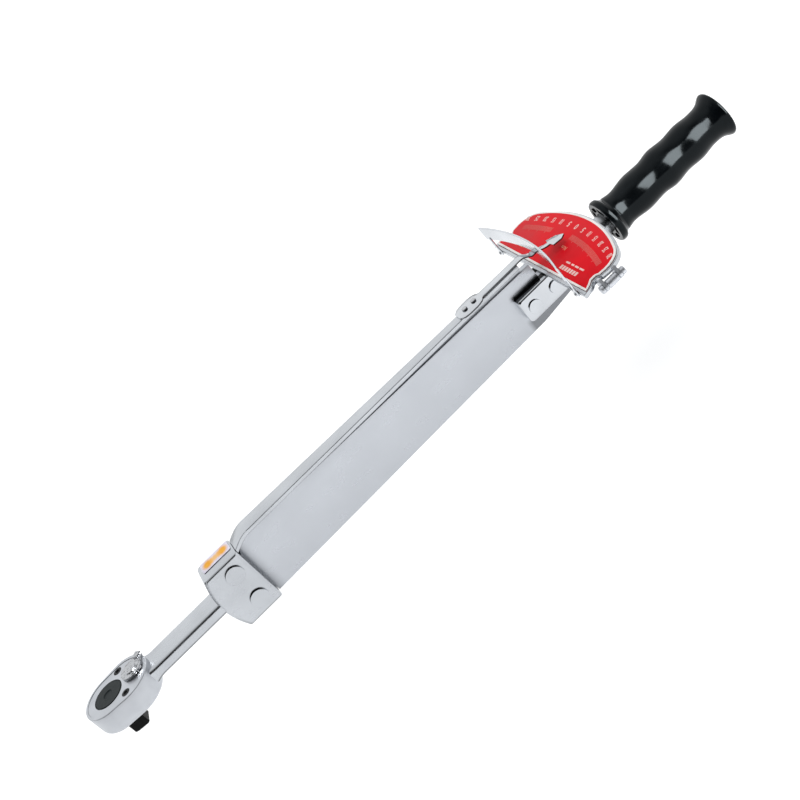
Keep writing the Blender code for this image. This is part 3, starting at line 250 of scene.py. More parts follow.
def clamp_top_painted_reflection(tree):
    """Painted dark reflection on the end clamp's upper face, from the leaf to just short of the front edge.
    """
    along, across, height = (coordinate(tree, axis) for axis in "XYZ")
    edge = ranged(tree, along, 0.0068, 0.0098, CLAMP_LOW.x, CLAMP_LOW.x + 0.0300)
    front = combined(tree, "ADD", across, edge)
    inside = ranged(tree, front, 0.0, 1.0, -0.0002, 0.0002)
    upper = ranged(tree, height, 0.0, 1.0, CLAMP_TOP - 0.0011, CLAMP_TOP - 0.0009)
    return combined(tree, "MULTIPLY", inside, upper)


def guard_painted_reflection(tree):
    """Painted dark reflection on the outer face of the guard's near half."""
    outer = ranged(tree, facing(tree, "X"), 0.0, 1.0, 0.30, 0.60)
    near = ranged(tree, coordinate(tree, "Y"), 1.0, 0.0, -0.0160, -0.0040)
    return combined(tree, "MULTIPLY", outer, near)


def needle_near_painted_shade(tree):
    """Painted shade on the needle's cut edge on the near side."""
    return ranged(tree, facing(tree, "Y"), 1.0, 0.0, -0.75, -0.40)


def dimmed(tree, tone, colour, dim):
    """Darken a tone; dim is a mask function and the share of the colour left where the mask is 1."""
    if dim is None:
        return tone
    mask, share = dim
    return mixed(tree, mask(tree), tone, shaded(colour, share))


BRUSHED = (8.0, 900.0, 900.0)
POLISHED = ((30.0, 300.0, 300.0), 0.004 * MM, 0.05)        # brush, grain and spread of a metal


def metal(name, colour, roughness, brush=BRUSHED, grain=0.02 * MM, spread=0.08, dim=None, drift=0.86):
    """Plated or bare metal: brushed grain, smudges and a little colour drift, darkened by a mask that paints
    in shade and dark reflections.
    """
    mat, tree, shader = shader_of(name, colour, roughness, 1.0)
    broad = ranged(tree, noise_at(tree, 32.0, 4.0), 0.0, 1.0)
    tone = dimmed(tree, mixed(tree, broad, shaded(colour, drift), colour), colour, dim)
    smear = noise_at(tree, 120.0, 5.0, (0.4, 1.0, 1.0))
    gloss = ranged(tree, smear, roughness - spread * 0.5, roughness + spread)
    textured(tree, shader, tone, gloss, noise_at(tree, 1.0, 3.0, brush), grain)
    return mat


def worn(name, colour, bare, roughness, grain_scale, grain, dim=None):
    """Coated metal: speckled coat, worn through to bare metal along edges, dimmed by a mask."""
    mat, tree, shader = shader_of(name, colour, roughness, 0.8)
    speckle = noise_at(tree, grain_scale, 4.0)
    patches = ranged(tree, noise_at(tree, 260.0, 5.0), 0.0, 0.7, 0.45, 0.62)
    wear = combined(tree, "MULTIPLY", edge_mask(tree, 0.10 * MM), patches)
    coat = mixed(tree, ranged(tree, speckle, 0.0, 1.0), shaded(colour, 0.72), shaded(colour, 1.25))
    tone = dimmed(tree, mixed(tree, wear, coat, bare), colour, dim)
    textured(tree, shader, tone, ranged(tree, speckle, roughness - 0.06, roughness + 0.08), speckle, grain)
    return mat


def plastic(name, colour, roughness, grain):
    """Moulded gloss plastic with a faint flow texture and fine scuffs."""
    mat, tree, shader = shader_of(name, colour, roughness, 0.0)
    shader.inputs["IOR"].default_value = 1.25
    shader.inputs["Specular Tint"].default_value = (0.84, 0.95, 1.0, 1.0)
    scuff = noise_at(tree, 90.0, 6.0, (0.5, 1.0, 1.0), 0.65)
    lift = tuple(1.8 * c + 0.0015 for c in colour)
    tone = mixed(tree, ranged(tree, scuff, 0.0, 1.0, 0.5, 0.75), colour, lift)
    gloss = ranged(tree, scuff, roughness - 0.03, roughness + 0.10)
    textured(tree, shader, tone, gloss, noise_at(tree, 420.0, 2.0), grain)
    return mat


def enamel(name, colour, roughness):
    """Baked enamel with a slight orange-peel surface."""
    mat, tree, shader = shader_of(name, colour, roughness, 0.0)
    shader.inputs["Specular IOR Level"].default_value = 0.08
    shader.inputs["Specular Tint"].default_value = (1.0, 0.20, 0.20, 1.0)
    drift = noise_at(tree, 45.0, 4.0)
    tone = mixed(tree, ranged(tree, drift, 0.0, 1.0), shaded(colour, 0.82), colour)
    gloss = ranged(tree, drift, roughness - 0.05, roughness + 0.08)
    textured(tree, shader, tone, gloss, noise_at(tree, 900.0, 2.0), 0.012 * MM)
    return mat


def spot_at(tree, centre, size):
    """Soft elliptical spot, seen from above, about a point."""
    coords = tree.nodes.new("ShaderNodeTexCoord")
    mapping = tree.nodes.new("ShaderNodeMapping")
    scale = (1.0 / size[0], 1.0 / size[1], 0.0)
    mapping.inputs["Scale"].default_value = scale
    mapping.inputs["Location"].default_value = tuple(-c * s for c, s in zip(centre, scale))
    length = tree.nodes.new("ShaderNodeVectorMath")
    length.operation = "LENGTH"
    tree.links.new(coords.outputs["Object"], mapping.inputs["Vector"])
    tree.links.new(mapping.outputs["Vector"], length.inputs[0])
    return ranged(tree, length.outputs["Value"], 1.0, 0.0, 0.35, 0.75)


def label_material():
    """Printed film: pale ground with soft orange patches that run together, paler in the middle."""
    mat, tree, shader = shader_of("label_print", (0.72, 0.70, 0.80), 0.42, 0.0)
    shader.inputs["Specular IOR Level"].default_value = 0.12
    low, high = lo("clamp_label"), hi("clamp_label")
    long, wide = high.x - low.x, high.y - low.y
    middle_y = low.y + wide * 0.5
    spots = [spot_at(tree, (low.x + long * share, middle_y, high.z), (size * long, 2.2 * size * wide))
             for share, size in ((0.23, 0.29), (0.36, 0.23), (0.50, 0.21), (0.64, 0.23), (0.77, 0.29))]
    total = spots[0]
    for spot in spots[1:]:
        total = combined(tree, "MAXIMUM", total, spot)
    grain = ranged(tree, noise_at(tree, 420.0, 3.0), 0.0, 1.0)
    orange = mixed(tree, grain, (0.82, 0.34, 0.01), (0.84, 0.42, 0.04))
    third = long / 3.0
    along = coordinate(tree, "X")
    rising = ranged(tree, along, 0.0, 1.0, low.x + 0.85 * third, low.x + 1.30 * third)
    falling = ranged(tree, along, 1.0, 0.0, high.x - 1.30 * third, high.x - 0.85 * third)
    orange = mixed(tree, combined(tree, "MULTIPLY", rising, falling), orange, (0.84, 0.50, 0.20))
    tree.links.new(mixed(tree, total, (0.72, 0.69, 0.80), orange), shader.inputs["Base Color"])
    bumped(tree, shader, noise_at(tree, 700.0, 2.0), 0.006 * MM)
    return mat


PLATING = (0.53, 0.55, 0.58)
SILVER = (0.60, 0.62, 0.65)
BARE_STEEL = (0.50, 0.51, 0.53)
# Nickel with painted shade on faces that look down.
NICKEL = metal("satin_nickel", PLATING, 0.24, dim=(underside_painted_shade, 0.30))
HEAD_NICKEL = metal("head_nickel", (0.58, 0.60, 0.635), 0.40)
# Rivet nickel with painted shade on the heads' upper rims.
RIVET_NICKEL = metal("rivet_nickel", PLATING, 0.24, dim=(rivet_rim_painted_shade, 0.10))
LEVER_NICKEL = metal("lever_nickel", BARE_STEEL, 0.10, (380.0, 380.0, 380.0), 1.3 * MM)
# Needle chrome with painted shade on its near side cut edge.
NEEDLE_CHROME = metal("needle_chrome", SILVER, 0.16, *POLISHED, (needle_near_painted_shade, 0.15))
EAR_STEEL = metal("ear_steel", (0.70, 0.72, 0.76), 0.46, (200.0, 200.0, 200.0), 0.01 * MM)
CHROME = metal("polished_chrome", SILVER, 0.10, *POLISHED)
# Leaf steel with painted shade beside the block and under the end clamp.
LEAF_STEEL = metal("leaf_steel", (0.500, 0.520, 0.555), 0.28, (5.0, 1500.0, 1500.0), 0.006 * MM, 0.03,
                   (leaf_painted_shade, 0.30), 0.96)
# Clamp chrome with a painted dark reflection on its upper face.
CLAMP_CHROME = metal("clamp_chrome", SILVER, 0.10, *POLISHED, (clamp_top_painted_reflection, 0.02))
# Guard chrome with a painted dark reflection on its near half.
GUARD_CHROME = metal("guard_chrome", (0.64, 0.66, 0.69), 0.16, *POLISHED, (guard_painted_reflection, 0.12))
STEEL = metal("bright_steel", BARE_STEEL, 0.24, (300.0, 300.0, 300.0), 0.006 * MM)
BLACK_OXIDE = worn("black_oxide", (0.004, 0.005, 0.006), (0.04, 0.04, 0.045), 0.38, 900.0, 0.03 * MM)
BLACK_CAP = worn("black_cap", (0.019, 0.025, 0.026), (0.040, 0.048, 0.050), 0.50, 450.0, 0.06 * MM,
                 (below_head, 0.08))
RED = enamel("red_enamel", (0.72, 0.004, 0.012), 0.42)
WHITE_INK = enamel("white_ink", (0.86, 0.84, 0.82), 0.5)
FIGURE_INK = enamel("figure_ink", (0.86, 0.58, 0.54), 0.5)
UNIT_INK = enamel("unit_ink", (0.84, 0.30, 0.20), 0.5)
PINK_INK = enamel("scale_ink", (0.70, 0.16, 0.14), 0.5)
YELLOW_INK = enamel("yellow_ink", (0.80, 0.38, 0.04), 0.5)
BLACK_GRIP = plastic("black_grip", (0.0016, 0.0024, 0.0032), 0.13, 0.006 * MM)
LABEL = label_material()


# ---- mesh helpers
def arc(centre, radius, start, end, count):
    """Points along an arc, both ends included."""
    angles = [start + (end - start) * i / count for i in range(count + 1)]
    return [(centre[0] + radius * math.cos(a), centre[1] + radius * math.sin(a)) for a in angles]


def circle(radius, count, centre=(0.0, 0.0), start=0.0):
    """Corners of a regular polygon."""
    return arc(centre, radius, start, start + 2.0 * math.pi, count)[:-1]


def loft(sections, closed=False):
    """Skin point loops; ends are capped, or joined to each other when closed."""
    shape = bmesh.new()
    rings = [[shape.verts.new(point) for point in section] for section in sections]
    count = len(rings[0])
    pairs = list(zip(rings, rings[1:]))
    if closed:
        pairs.append((rings[-1], rings[0]))
    for lower, upper in pairs:
        for i in range(count):
            j = (i + 1) % count
            shape.faces.new((lower[i], lower[j], upper[j], upper[i]))
    if not closed:
        shape.faces.new(list(reversed(rings[0])))
        shape.faces.new(rings[-1])
    bmesh.ops.recalc_face_normals(shape, faces=shape.faces)
    return shape


def stacked(stations, closed=False):
    """Skin (x, y) outlines, each paired with its height."""
    return loft([[(x, y, z) for x, y in outline] for outline, z in stations], closed)


def prism_z(outline, bottom, top):
    """Extrude an (x, y) outline."""
    return stacked([(outline, bottom), (outline, top)])


def prism_y(outline, front, back):
    """Extrude an (x, z) outline."""
    return loft([[(x, y, z) for x, z in outline] for y in (front, back)])


def prism_x(outline, start, end):
    """Extrude a (y, z) outline."""
    return loft([[(x, y, z) for y, z in outline] for x in (start, end)])


def box(low, high):
    """Box between two corners."""
    corners = [(low[0], low[1]), (high[0], low[1]), (high[0], high[1]), (low[0], high[1])]
    return prism_z(corners, low[2], high[2])


def lathe(profile, count):
    """Turn a (radius, height) profile about Z, closed at both ends on the axis."""
    shape = bmesh.new()
    rings = [[shape.verts.new((x, y, height)) for x, y in circle(radius, count)]
             for radius, height in profile[1:-1]]
    first = shape.verts.new((0.0, 0.0, profile[0][1]))
    last = shape.verts.new((0.0, 0.0, profile[-1][1]))
    for i in range(count):
        j = (i + 1) % count
        shape.faces.new((first, rings[0][i], rings[0][j]))
        shape.faces.new((last, rings[-1][j], rings[-1][i]))
        for lower, upper in zip(rings, rings[1:]):
            shape.faces.new((lower[i], upper[i], upper[j], lower[j]))
    bmesh.ops.recalc_face_normals(shape, faces=shape.faces)
    return shape


TO_X = Matrix.Rotation(QUARTER, 4, "Y")
TO_FRONT = Matrix.Rotation(QUARTER, 4, "X")
TO_BACK = Matrix.Rotation(-QUARTER, 4, "X")


def moved(shape, offset, turn):
    """Turn a shape about the origin, then shift it."""
    shape.transform(turn)
    shape.transform(Matrix.Translation(offset))
    return shape


def along_x(profile, count):
    """Lathe of a (radius, x) profile on the wrench's long axis."""
    return moved(lathe(profile, count), (0.0, 0.0, AXIS_Z), TO_X)


def in_scene(name, data):
    """New object in the scene."""
    obj = bpy.data.objects.new(name, data)
    bpy.context.scene.collection.objects.link(obj)
    return obj


def mesh_object(name, shape):
    """Object from a bmesh."""
    mesh = bpy.data.meshes.new(name)
    shape.to_mesh(mesh)
    shape.free()
    return in_scene(name, mesh)


def together(shapes):
    """Several bmeshes in one."""
    group = bmesh.new()
    for shape in shapes:
        scratch = bpy.data.meshes.new("scratch")
        shape.to_mesh(scratch)
        shape.free()
        group.from_mesh(scratch)
        bpy.data.meshes.remove(scratch)
    return group


def baked(obj):
    """Apply every modifier of an object."""
    bpy.context.view_layer.update()
    graph = bpy.context.evaluated_depsgraph_get()
    result = bpy.data.meshes.new_from_object(obj.evaluated_get(graph))
    obj.modifiers.clear()
    old = obj.data
    obj.data = result
    bpy.data.meshes.remove(old)


def boolean(obj, shapes, operation="DIFFERENCE"):
    """Cut or join shapes, one exact Boolean each."""
    for shape in shapes:
        tool = mesh_object("tool", shape)
        modifier = obj.modifiers.new("combine", "BOOLEAN")
        modifier.operation = operation
        modifier.solver = "EXACT"
        modifier.object = tool
        baked(obj)
        mesh = tool.data
        bpy.data.objects.remove(tool, do_unlink=True)
        bpy.data.meshes.remove(mesh)


def bevelled(obj, width, segments, angle):
    """Add a bevel to edges sharper than the angle."""
    modifier = obj.modifiers.new("round", "BEVEL")
    modifier.width = width
    modifier.segments = segments
    modifier.limit_method = "ANGLE"
    modifier.angle_limit = math.radians(angle)


def rounded(obj, width, segments, angle=32.0):
    """Round edges sharper than the angle."""
    bevelled(obj, width, segments, angle)
    baked(obj)


def placed(obj, material, body, nodes, sharp=40.0):
    """Finish a piece: material, shading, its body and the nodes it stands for."""
    obj.data.materials.clear()
    obj.data.materials.append(material)
    obj.data.shade_smooth()
    obj.data.set_sharp_from_angle(angle=math.radians(sharp))
    if body:
        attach(obj, body)
    if nodes:
        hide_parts(*nodes)
    return obj


def dressed(node, material, width):
    """Keep a CAD node: give it a material and, where a width is given, round its edges."""
    obj = frame["nodes"][node]
    obj.data.materials.clear()
    obj.data.materials.append(material)
    if width:
        flat = obj.modifiers.new("flats", "DECIMATE")
        flat.decimate_type = "DISSOLVE"
        flat.angle_limit = math.radians(0.6)
        bevelled(obj, width, 2, 38.0)


# ---- ratchet head, shank and block
PEAR_STEPS = 48
NOSE_TRIM = 0.0009
OPENING_RADIUS = 0.0105
FOOT_INSET = 0.0062
FOOT_ROUND = 0.0044
RIM_ROUND = 0.0007
POCKET_INSET = 0.0052
SEAM = 0.0002


def pear(inset, trim=0.0):
    """Plan of the ratchet head, drawn in by the inset, and by the trim round the drive end only."""
    lean = math.asin((HEAD_REAR_RADIUS - HEAD_RADIUS) / HEAD_REAR_X)
    nose = arc((0.0, 0.0), HEAD_RADIUS - inset - trim, QUARTER + lean, 3.0 * QUARTER - lean, PEAR_STEPS)
    rear = arc((HEAD_REAR_X, 0.0), HEAD_REAR_RADIUS - inset, -QUARTER - lean, QUARTER + lean, PEAR_STEPS)
    return nose + rear


def fillet(z, radius, start, end):
    """(inset, z) stations round an edge whose arc is centred at height z, one radius in."""
    steps = 5
    angles = [between(start, end, i / steps) for i in range(steps + 1)]
    return [(radius - radius * math.cos(a), z + radius * math.sin(a)) for a in angles]


def build_head():
    """Shell of the head with rolled edges, a seat for the cover and an open mechanism pocket."""
    seat = COVER_LOW - 0.0003
    opening = circle(OPENING_RADIUS, len(pear(0.0)), start=QUARTER)
    side = fillet(HEAD_BOTTOM + FOOT_ROUND, FOOT_ROUND, -QUARTER, 0.0)
    side += fillet(HEAD_TOP - RIM_ROUND, RIM_ROUND, 0.0, QUARTER)
    stations = [(opening, CAVITY_FLOOR), (opening, HEAD_BOTTOM), (pear(FOOT_INSET, NOSE_TRIM), HEAD_BOTTOM)]
    stations += [(pear(inset, NOSE_TRIM), z) for inset, z in side]
    edge, pocket = pear(COVER_INSET + SEAM), pear(POCKET_INSET)
    stations += [(pear(COVER_INSET + 0.75 * SEAM), HEAD_TOP), (edge, HEAD_TOP - 0.3 * SEAM), (edge, seat),
                 (pocket, seat), (pocket, CAVITY_FLOOR)]
    shell = mesh_object("head_shell", stacked(stations, closed=True))
    placed(shell, HEAD_NICKEL, HEAD, ["ratchet_head"])


def round_rect(half_y, half_z, radius, steps):
    """Rounded rectangle in (y, z), about the origin."""
    points = []
    for i, (sign_y, sign_z) in enumerate(((1, 1), (-1, 1), (-1, -1), (1, -1))):
        centre = (sign_y * (half_y - radius), sign_z * (half_z - radius))
        points += arc(centre, radius, i * QUARTER, (i + 1) * QUARTER, steps)
    return points


def bar_along_x(stations, steps):
    """Bar through (x, half width, half height, middle height, edge radius) stations."""
    return loft([[(x, y, middle + z) for y, z in round_rect(half_y, half_z, edge, steps)]
                 for x, half_y, half_z, middle, edge in stations])


def build_shank():
    """Flat bar from head to block, flared at the head and widening a little to the block."""
    start, end, steps = 0.0240, 0.1030, 40
    half_width, half_height, edge = 0.0112, 0.0048, 0.0027
    flare_end, flare_length, flare_width, flare_height, widening = 0.0390, 0.0090, 0.0016, 0.0014, 0.0003
    stations = []
    for i in range(steps + 1):
        share = i / steps
        x = between(start, end, share)
        flare = max(0.0, (flare_end - x) / flare_length) ** 2
        width = half_width + widening * share + flare_width * flare
        stations.append((x, width, half_height + flare_height * flare, AXIS_Z, edge))
    placed(mesh_object("shank", bar_along_x(stations, 7)), NICKEL, HEAD, ["ratchet_head"])


def slab(outline, half, front_round, back_round, chamfer):
    """Body between y -half and +half; outline(inset_x, inset_z) shrinks towards both faces."""
    angles = [QUARTER * i / 7 for i in range(8)]
    edge = min(front_round, back_round)
    stations = []
    for angle in angles:
        depth = front_round * (1.0 - math.cos(angle))
        inset = chamfer * (1.0 - depth / front_round)
        stations.append((-half + depth, inset, front_round * (1.0 - math.sin(angle))))
    for angle in angles:
        y = half - back_round * (1.0 - math.sin(angle))
        over = max(0.0, y - (half - edge)) / edge
        drop = edge * (1.0 - math.sqrt(max(0.0, 1.0 - over * over)))
        stations.append((y, back_round * (1.0 - math.cos(angle)), drop))
    return loft([[(x, y, z) for x, z in outline(inset_x, inset_z)] for y, inset_x, inset_z in stations])


def build_block():
    """Clamp block, bulging towards the shank, slotted for the leaf and the pointer's flange."""
    def outline(inset_x, inset_z):
        half = BLOCK_HALF_HEIGHT - inset_z
        radius = (half * half + BLOCK_BULGE * BLOCK_BULGE) / (2.0 * BLOCK_BULGE)
        spread = math.asin(half / radius)
        left = BLOCK_LEFT_X - BLOCK_BULGE + inset_x
        points = arc((left + radius, AXIS_Z), radius, math.pi - spread, math.pi + spread, 24)
        right = BLOCK_RIGHT_X - inset_x
        return points + [(right, AXIS_Z - half), (right, AXIS_Z + half)]

    block = mesh_object("clamp_block", slab(outline, BLOCK_HALF_THICKNESS, 0.0017, 0.0042, 0.0018))
    rounded(block, 0.0004, 2, 55.0)
    start, end = 0.1035, BLOCK_RIGHT_X + 0.002
    leaf_slot = box((start, -SLOT_HALF, 0.0042), (end, SLOT_HALF, 0.0428))
    flange_slot = box((start, 0.0, 0.0077), (end, SLOT_HALF + 0.0043, 0.0465))
    boolean(block, [leaf_slot, flange_slot])
    placed(block, NICKEL, HEAD, ["ratchet_head"], 30.0)


def rivet_head(radius, height):
    """Nearly flat rivet head about Z with a rounded rim; its foot is sunk a little below height 0."""
    steps, count, foot = 6, 56, -0.0006
    rim = height * 0.15
    profile = [(0.0, foot), (radius * 0.97, foot)]
    for i in range(steps + 1):
        angle = QUARTER * i / steps
        profile.append((radius - rim + rim * math.cos(angle), height - rim - 0.0001 + rim * math.sin(angle)))
    return lathe(profile + [(radius * 0.4, height - 0.00003), (0.0, height)], count)


def build_rivets(names, radius, height, material, body):
    """Domed heads on both ends of each rivet, with the shank between them."""
    for name in names:
        middle = middle_of(name)
        seat = hi(name).y - height
        front = moved(rivet_head(radius, height), (middle.x, -seat, middle.z), TO_FRONT)
        back = moved(rivet_head(radius, height), (middle.x, seat, middle.z), TO_BACK)
        core = prism_y(circle(radius * 0.55, 24, (middle.x, middle.z)), -seat, seat)
        piece = mesh_object(name + "_domed", together([front, back, core]))
        placed(piece, material, body, [name], 50.0)


# ---- leaf, pointer bar, needle
LEAF_NECK_LOW, LEAF_NECK_TOP = 0.0045, 0.0425
LEAF_TIP_LOW, LEAF_TIP_TOP = 0.0082, 0.0350
LEAF_START_HALF, LEAF_END_HALF = 0.0248, 0.0207
SHOULDER_X = BLOCK_RIGHT_X + 0.0004
CORNER_X = 0.1500
TAPER_START_X, TAPER_END_X = 0.1316, 0.3943
STEP_X = 0.4095
BAR_START_X, BAR_END_X = 0.1316, 0.4030
BAR_START_TOP, BAR_END_TOP = 0.0550, 0.0523
BAR_START_HALF, BAR_END_HALF = 0.0083, 0.0040
BAR_HALF_THICKNESS = 0.0017
CLIMB_LENGTH, CLIMB_HEIGHT = 0.0150, 0.0050


def leaf_half(x):
    """Half height of the leaf along its taper."""
    return between(LEAF_START_HALF, LEAF_END_HALF, (x - TAPER_START_X) / (TAPER_END_X - TAPER_START_X))


def leaf_top(x):
    """Upper edge of the leaf."""
    if x < SHOULDER_X:
        return LEAF_NECK_TOP
    if x < CORNER_X:
        share = (CORNER_X - x) / (CORNER_X - SHOULDER_X)
        full = AXIS_Z + leaf_half(CORNER_X)
        return between(LEAF_NECK_TOP, full, math.sqrt(max(0.0, 1.0 - share * share)))
    if x < STEP_X:
        return AXIS_Z + leaf_half(x)
    return LEAF_TIP_TOP


def leaf_bottom(x):
    """Lower edge of the leaf."""
    if x < SHOULDER_X:
        return LEAF_NECK_LOW
    if x < TAPER_END_X:
        return AXIS_Z - leaf_half(x)
    share = (x - TAPER_END_X) / (LEAF_HIGH.x - TAPER_END_X)
    return between(AXIS_Z - LEAF_END_HALF, LEAF_TIP_LOW, share)


def build_leaf():
    """Bending leaf, finely divided along its length."""
    gap, edge = 0.0001, 0.0007
    places = [LEAF_LOW.x + 0.002, 0.1200, SHOULDER_X - gap]
    places += [between(SHOULDER_X, CORNER_X, 1.0 - math.cos(QUARTER * i / 10)) for i in range(10)]
    places += [between(CORNER_X, STEP_X - gap, i / 80) for i in range(81)]
    places += [STEP_X + gap, 0.4150, LEAF_HIGH.x]
    spans = [(x, leaf_bottom(x), leaf_top(x)) for x in places]
    stations = [(x, LEAF_HALF, (top - bottom) / 2.0, (top + bottom) / 2.0, edge) for x, bottom, top in spans]
    leaf = mesh_object("bending_leaf", bar_along_x(stations, 3))
    return placed(leaf, LEAF_STEEL, None, ["leaf_spring"], 30.0)


def bar_share(x):
    """Share of the way along the pointer bar."""
    return (x - BAR_START_X) / (BAR_END_X - BAR_START_X)


def bar_top(x):
    """Upper face of the pointer bar: it climbs out of the block, then falls slowly to its end."""
    climb = min(1.0, max(0.0, (x - BAR_START_X) / CLIMB_LENGTH))
    level = between(BAR_START_TOP, BAR_END_TOP, bar_share(x))
    return level - CLIMB_HEIGHT * (1.0 - math.sin(QUARTER * climb))


def build_pointer_bar():
    """Tapering bar over the leaf, with the flange that is riveted beside the leaf."""
    places = [BAR_START_X + CLIMB_LENGTH * i / 14 for i in range(15)]
    places += [between(BAR_START_X + CLIMB_LENGTH, BAR_END_X, i / 40) for i in range(1, 41)]
    half, edge = BAR_HALF_THICKNESS, 0.0006
    stations = [(x, between(BAR_START_HALF, BAR_END_HALF, bar_share(x)), half, bar_top(x) - half, edge)
                for x in places]
    left, right = 0.1055, BLOCK_RIGHT_X + 0.0006
    low, high = 0.0080, 0.0462
    flange = [(left, high), (left, low), (right, low), (0.1420, 0.0400)]
    flange += [(x, bar_top(x) - 0.0015) for x in (0.1470, 0.1410, 0.1350)]
    side = mesh_object("flange", prism_y(flange + [(right, high)], SLOT_HALF, SLOT_HALF + 0.0040))
    rounded(side, 0.0005, 2)
    flange_shape = bmesh.new()
    flange_shape.from_mesh(side.data)
    bpy.data.objects.remove(side, do_unlink=True)
    bar = mesh_object("pointer_arm", together([bar_along_x(stations, 3), flange_shape]))
    placed(bar, NICKEL, HEAD, ["pointer_bar"], 30.0)


def catmull_rom(p, q, r, s, t):
    """Smooth value between q and r, with p before them and s after."""
    square = (2.0 * p - 5.0 * q + 4.0 * r - s) * t * t
    cube = (3.0 * q - p - 3.0 * r + s) * t ** 3
    return 0.5 * (2.0 * q + (r - p) * t + square + cube)


def smooth_path(keys, steps):
    """Smooth samples through key tuples."""
    samples = []
    for k in range(len(keys) - 1):
        near = keys[max(0, k - 1)], keys[k], keys[k + 1], keys[min(len(keys) - 1, k + 2)]
        samples += [tuple(catmull_rom(*four, i / steps) for four in zip(*near)) for i in range(steps)]
    return samples + [tuple(keys[-1])]


def build_needle():
    """Needle with its screwed lug, two gentle steps down to the scale, and its arrow tip."""
    half_thickness = 0.0006
    rest = bar_top(0.3600) + 0.0003
    end = bar_top(BAR_END_X) + 0.0003
    low = 0.0451
    # (x, half width, underside) of the lug, the straight, the steps and the neck before the arrow
    keys = [(0.3495, 0.0044, rest), (0.3525, 0.0079, rest), (0.3568, 0.0092, rest), (0.3605, 0.0093, rest),
            (0.3642, 0.0092, rest), (0.3685, 0.0076, rest - 0.0001), (0.3715, 0.0043, rest - 0.0001),
            (0.3760, 0.0041, rest - 0.0002), (0.4000, 0.0038, end), (0.4080, 0.0037, end - 0.0001),
            (0.4110, 0.0036, end - 0.0012), (0.4150, 0.0034, low + 0.0035), (0.4172, 0.0032, low + 0.0031),
            (0.4212, 0.0029, low + 0.0027), (0.4245, 0.0026, low + 0.0010), (0.4275, 0.0023, low),
            (0.4300, 0.0021, low - 0.0005)]
    arrow = [(0.4303, 0.0022, low - 0.0005), (0.4310, 0.0062, low - 0.0008), (0.4385, 0.0046, low - 0.0023),
             (0.4425, 0.0004, low - 0.0033)]
    stations = [(x, half, half_thickness, bottom + half_thickness, min(0.00025, half * 0.4))
                for x, half, bottom in smooth_path(keys, 5) + arrow]
    needle = mesh_object("needle_arrow", bar_along_x(stations, 2))
    placed(needle, NEEDLE_CHROME, HEAD, ["needle"], 35.0)


# ---- end clamp and rod
def build_end_clamp():
    """Polished fork on the leaf's end, with the boss that takes the rod."""
    low, high = CLAMP_LOW.z, CLAMP_TOP
    half_x, half_z = (CLAMP_BLOCK_END_X - CLAMP_LOW.x) / 2.0, (high - low) / 2.0

    def outline(inset_x, inset_z):
        corners = round_rect(half_x - inset_x, half_z - inset_z, 0.0022, 5)
        return [(CLAMP_LOW.x + half_x + x, low + half_z + z) for x, z in corners]

    fork = mesh_object("fork", slab(outline, CLAMP_HALF, 0.0017, 0.0017, 0.0012))
    start = CLAMP_LOW.x - 0.001
    boolean(fork, [box((start, -SLOT_HALF, low - 0.002), (CLAMP_SLOT_END_X, SLOT_HALF, high + 0.002))])
    neck_half, boss, bore = 0.0078, 0.0092, 0.0063
    neck = box((CLAMP_SLOT_END_X + 0.0005, -neck_half, low + 0.0015), (0.4320, neck_half, high - 0.0003))
    rim = 0.0008
    collar = along_x([(0.0, BOSS_START_X), (boss, BOSS_START_X), (boss, BOSS_END_X - rim),
                      (boss - rim, BOSS_END_X), (0.0, BOSS_END_X)], 64)
    boolean(fork, [neck, collar], "UNION")
    inner, outer = BOSS_START_X - 0.0003, BOSS_END_X + 0.0020
    boolean(fork, [along_x([(0.0, inner), (bore, inner), (bore, outer), (0.0, outer)], 48)])
    placed(fork, CLAMP_CHROME, HANDLE, ["end_clamp"], 30.0)


def build_rod():
    """Rod between fork and grip, thinner in the fork, with the stud for the grip's nut."""
    tang, shaft, stud = 0.0060, 0.0080, 0.0050
    start, step, seat, end = BOSS_START_X, BOSS_END_X + 0.0003, 0.5655, 0.5754
    profile = [(0.0, start), (tang, start), (tang, step), (shaft - 0.0003, step), (shaft, step + 0.0003),
               (shaft, seat - 0.0009), (shaft - 0.0004, seat), (stud, seat + 0.0001), (stud, end - 0.0006),
               (stud - 0.0006, end), (0.0, end)]
    rod = mesh_object("rod", along_x(profile, 64))
    placed(rod, NICKEL, HANDLE, ["handle_rod"])


# ---- scale
PLATE_SHOULDER = Vector((0.4350, 0.0505))
PLATE_ARC_X = 0.3115
PLATE_ARC_RADIUS = 0.1510
PLATE_BASE_X = 0.4150
PLATE_BASE_HALF = 0.0705
BORDER_WIDTH = 0.0015
INK_LOW = PLATE_HIGH.z - 0.00003
INK_HIGH = PLATE_HIGH.z + 0.00005
INK_MIDDLE = (INK_LOW + INK_HIGH) / 2.0
NUMBER_RADIUS = 0.2082
NUMBER_STEP = 2.87                  # degrees from one figure to the next
TICK_RADIUS = 0.2015
TICK_STEP = 0.32                    # degrees from one tick to the next
TICK_HALF_WIDTH = 0.00024
TRAY_BOTTOM = 0.0342
EAR_X = (0.4255, 0.4380)
EAR_THICKNESS = 0.0026
STUD_GAP = 0.0003


def lettering(text, size):
    """Solid figures as thick as the ink, about the origin, upright along +Y."""
    curve = bpy.data.curves.new("figures", "FONT")
    curve.body = text
    curve.size = size
    curve.align_x = "CENTER"
    curve.align_y = "CENTER"
    curve.extrude = (INK_HIGH - INK_LOW) / 2.0
    curve.offset = size * 0.02
    curve.resolution_u = 3
    figures = in_scene("figures", curve)
    mesh = bpy.data.meshes.new_from_object(figures)
    shape = bmesh.new()
    shape.from_mesh(mesh)
    bpy.data.objects.remove(figures, do_unlink=True)
    bpy.data.meshes.remove(mesh)
    bpy.data.curves.remove(curve)
    return shape


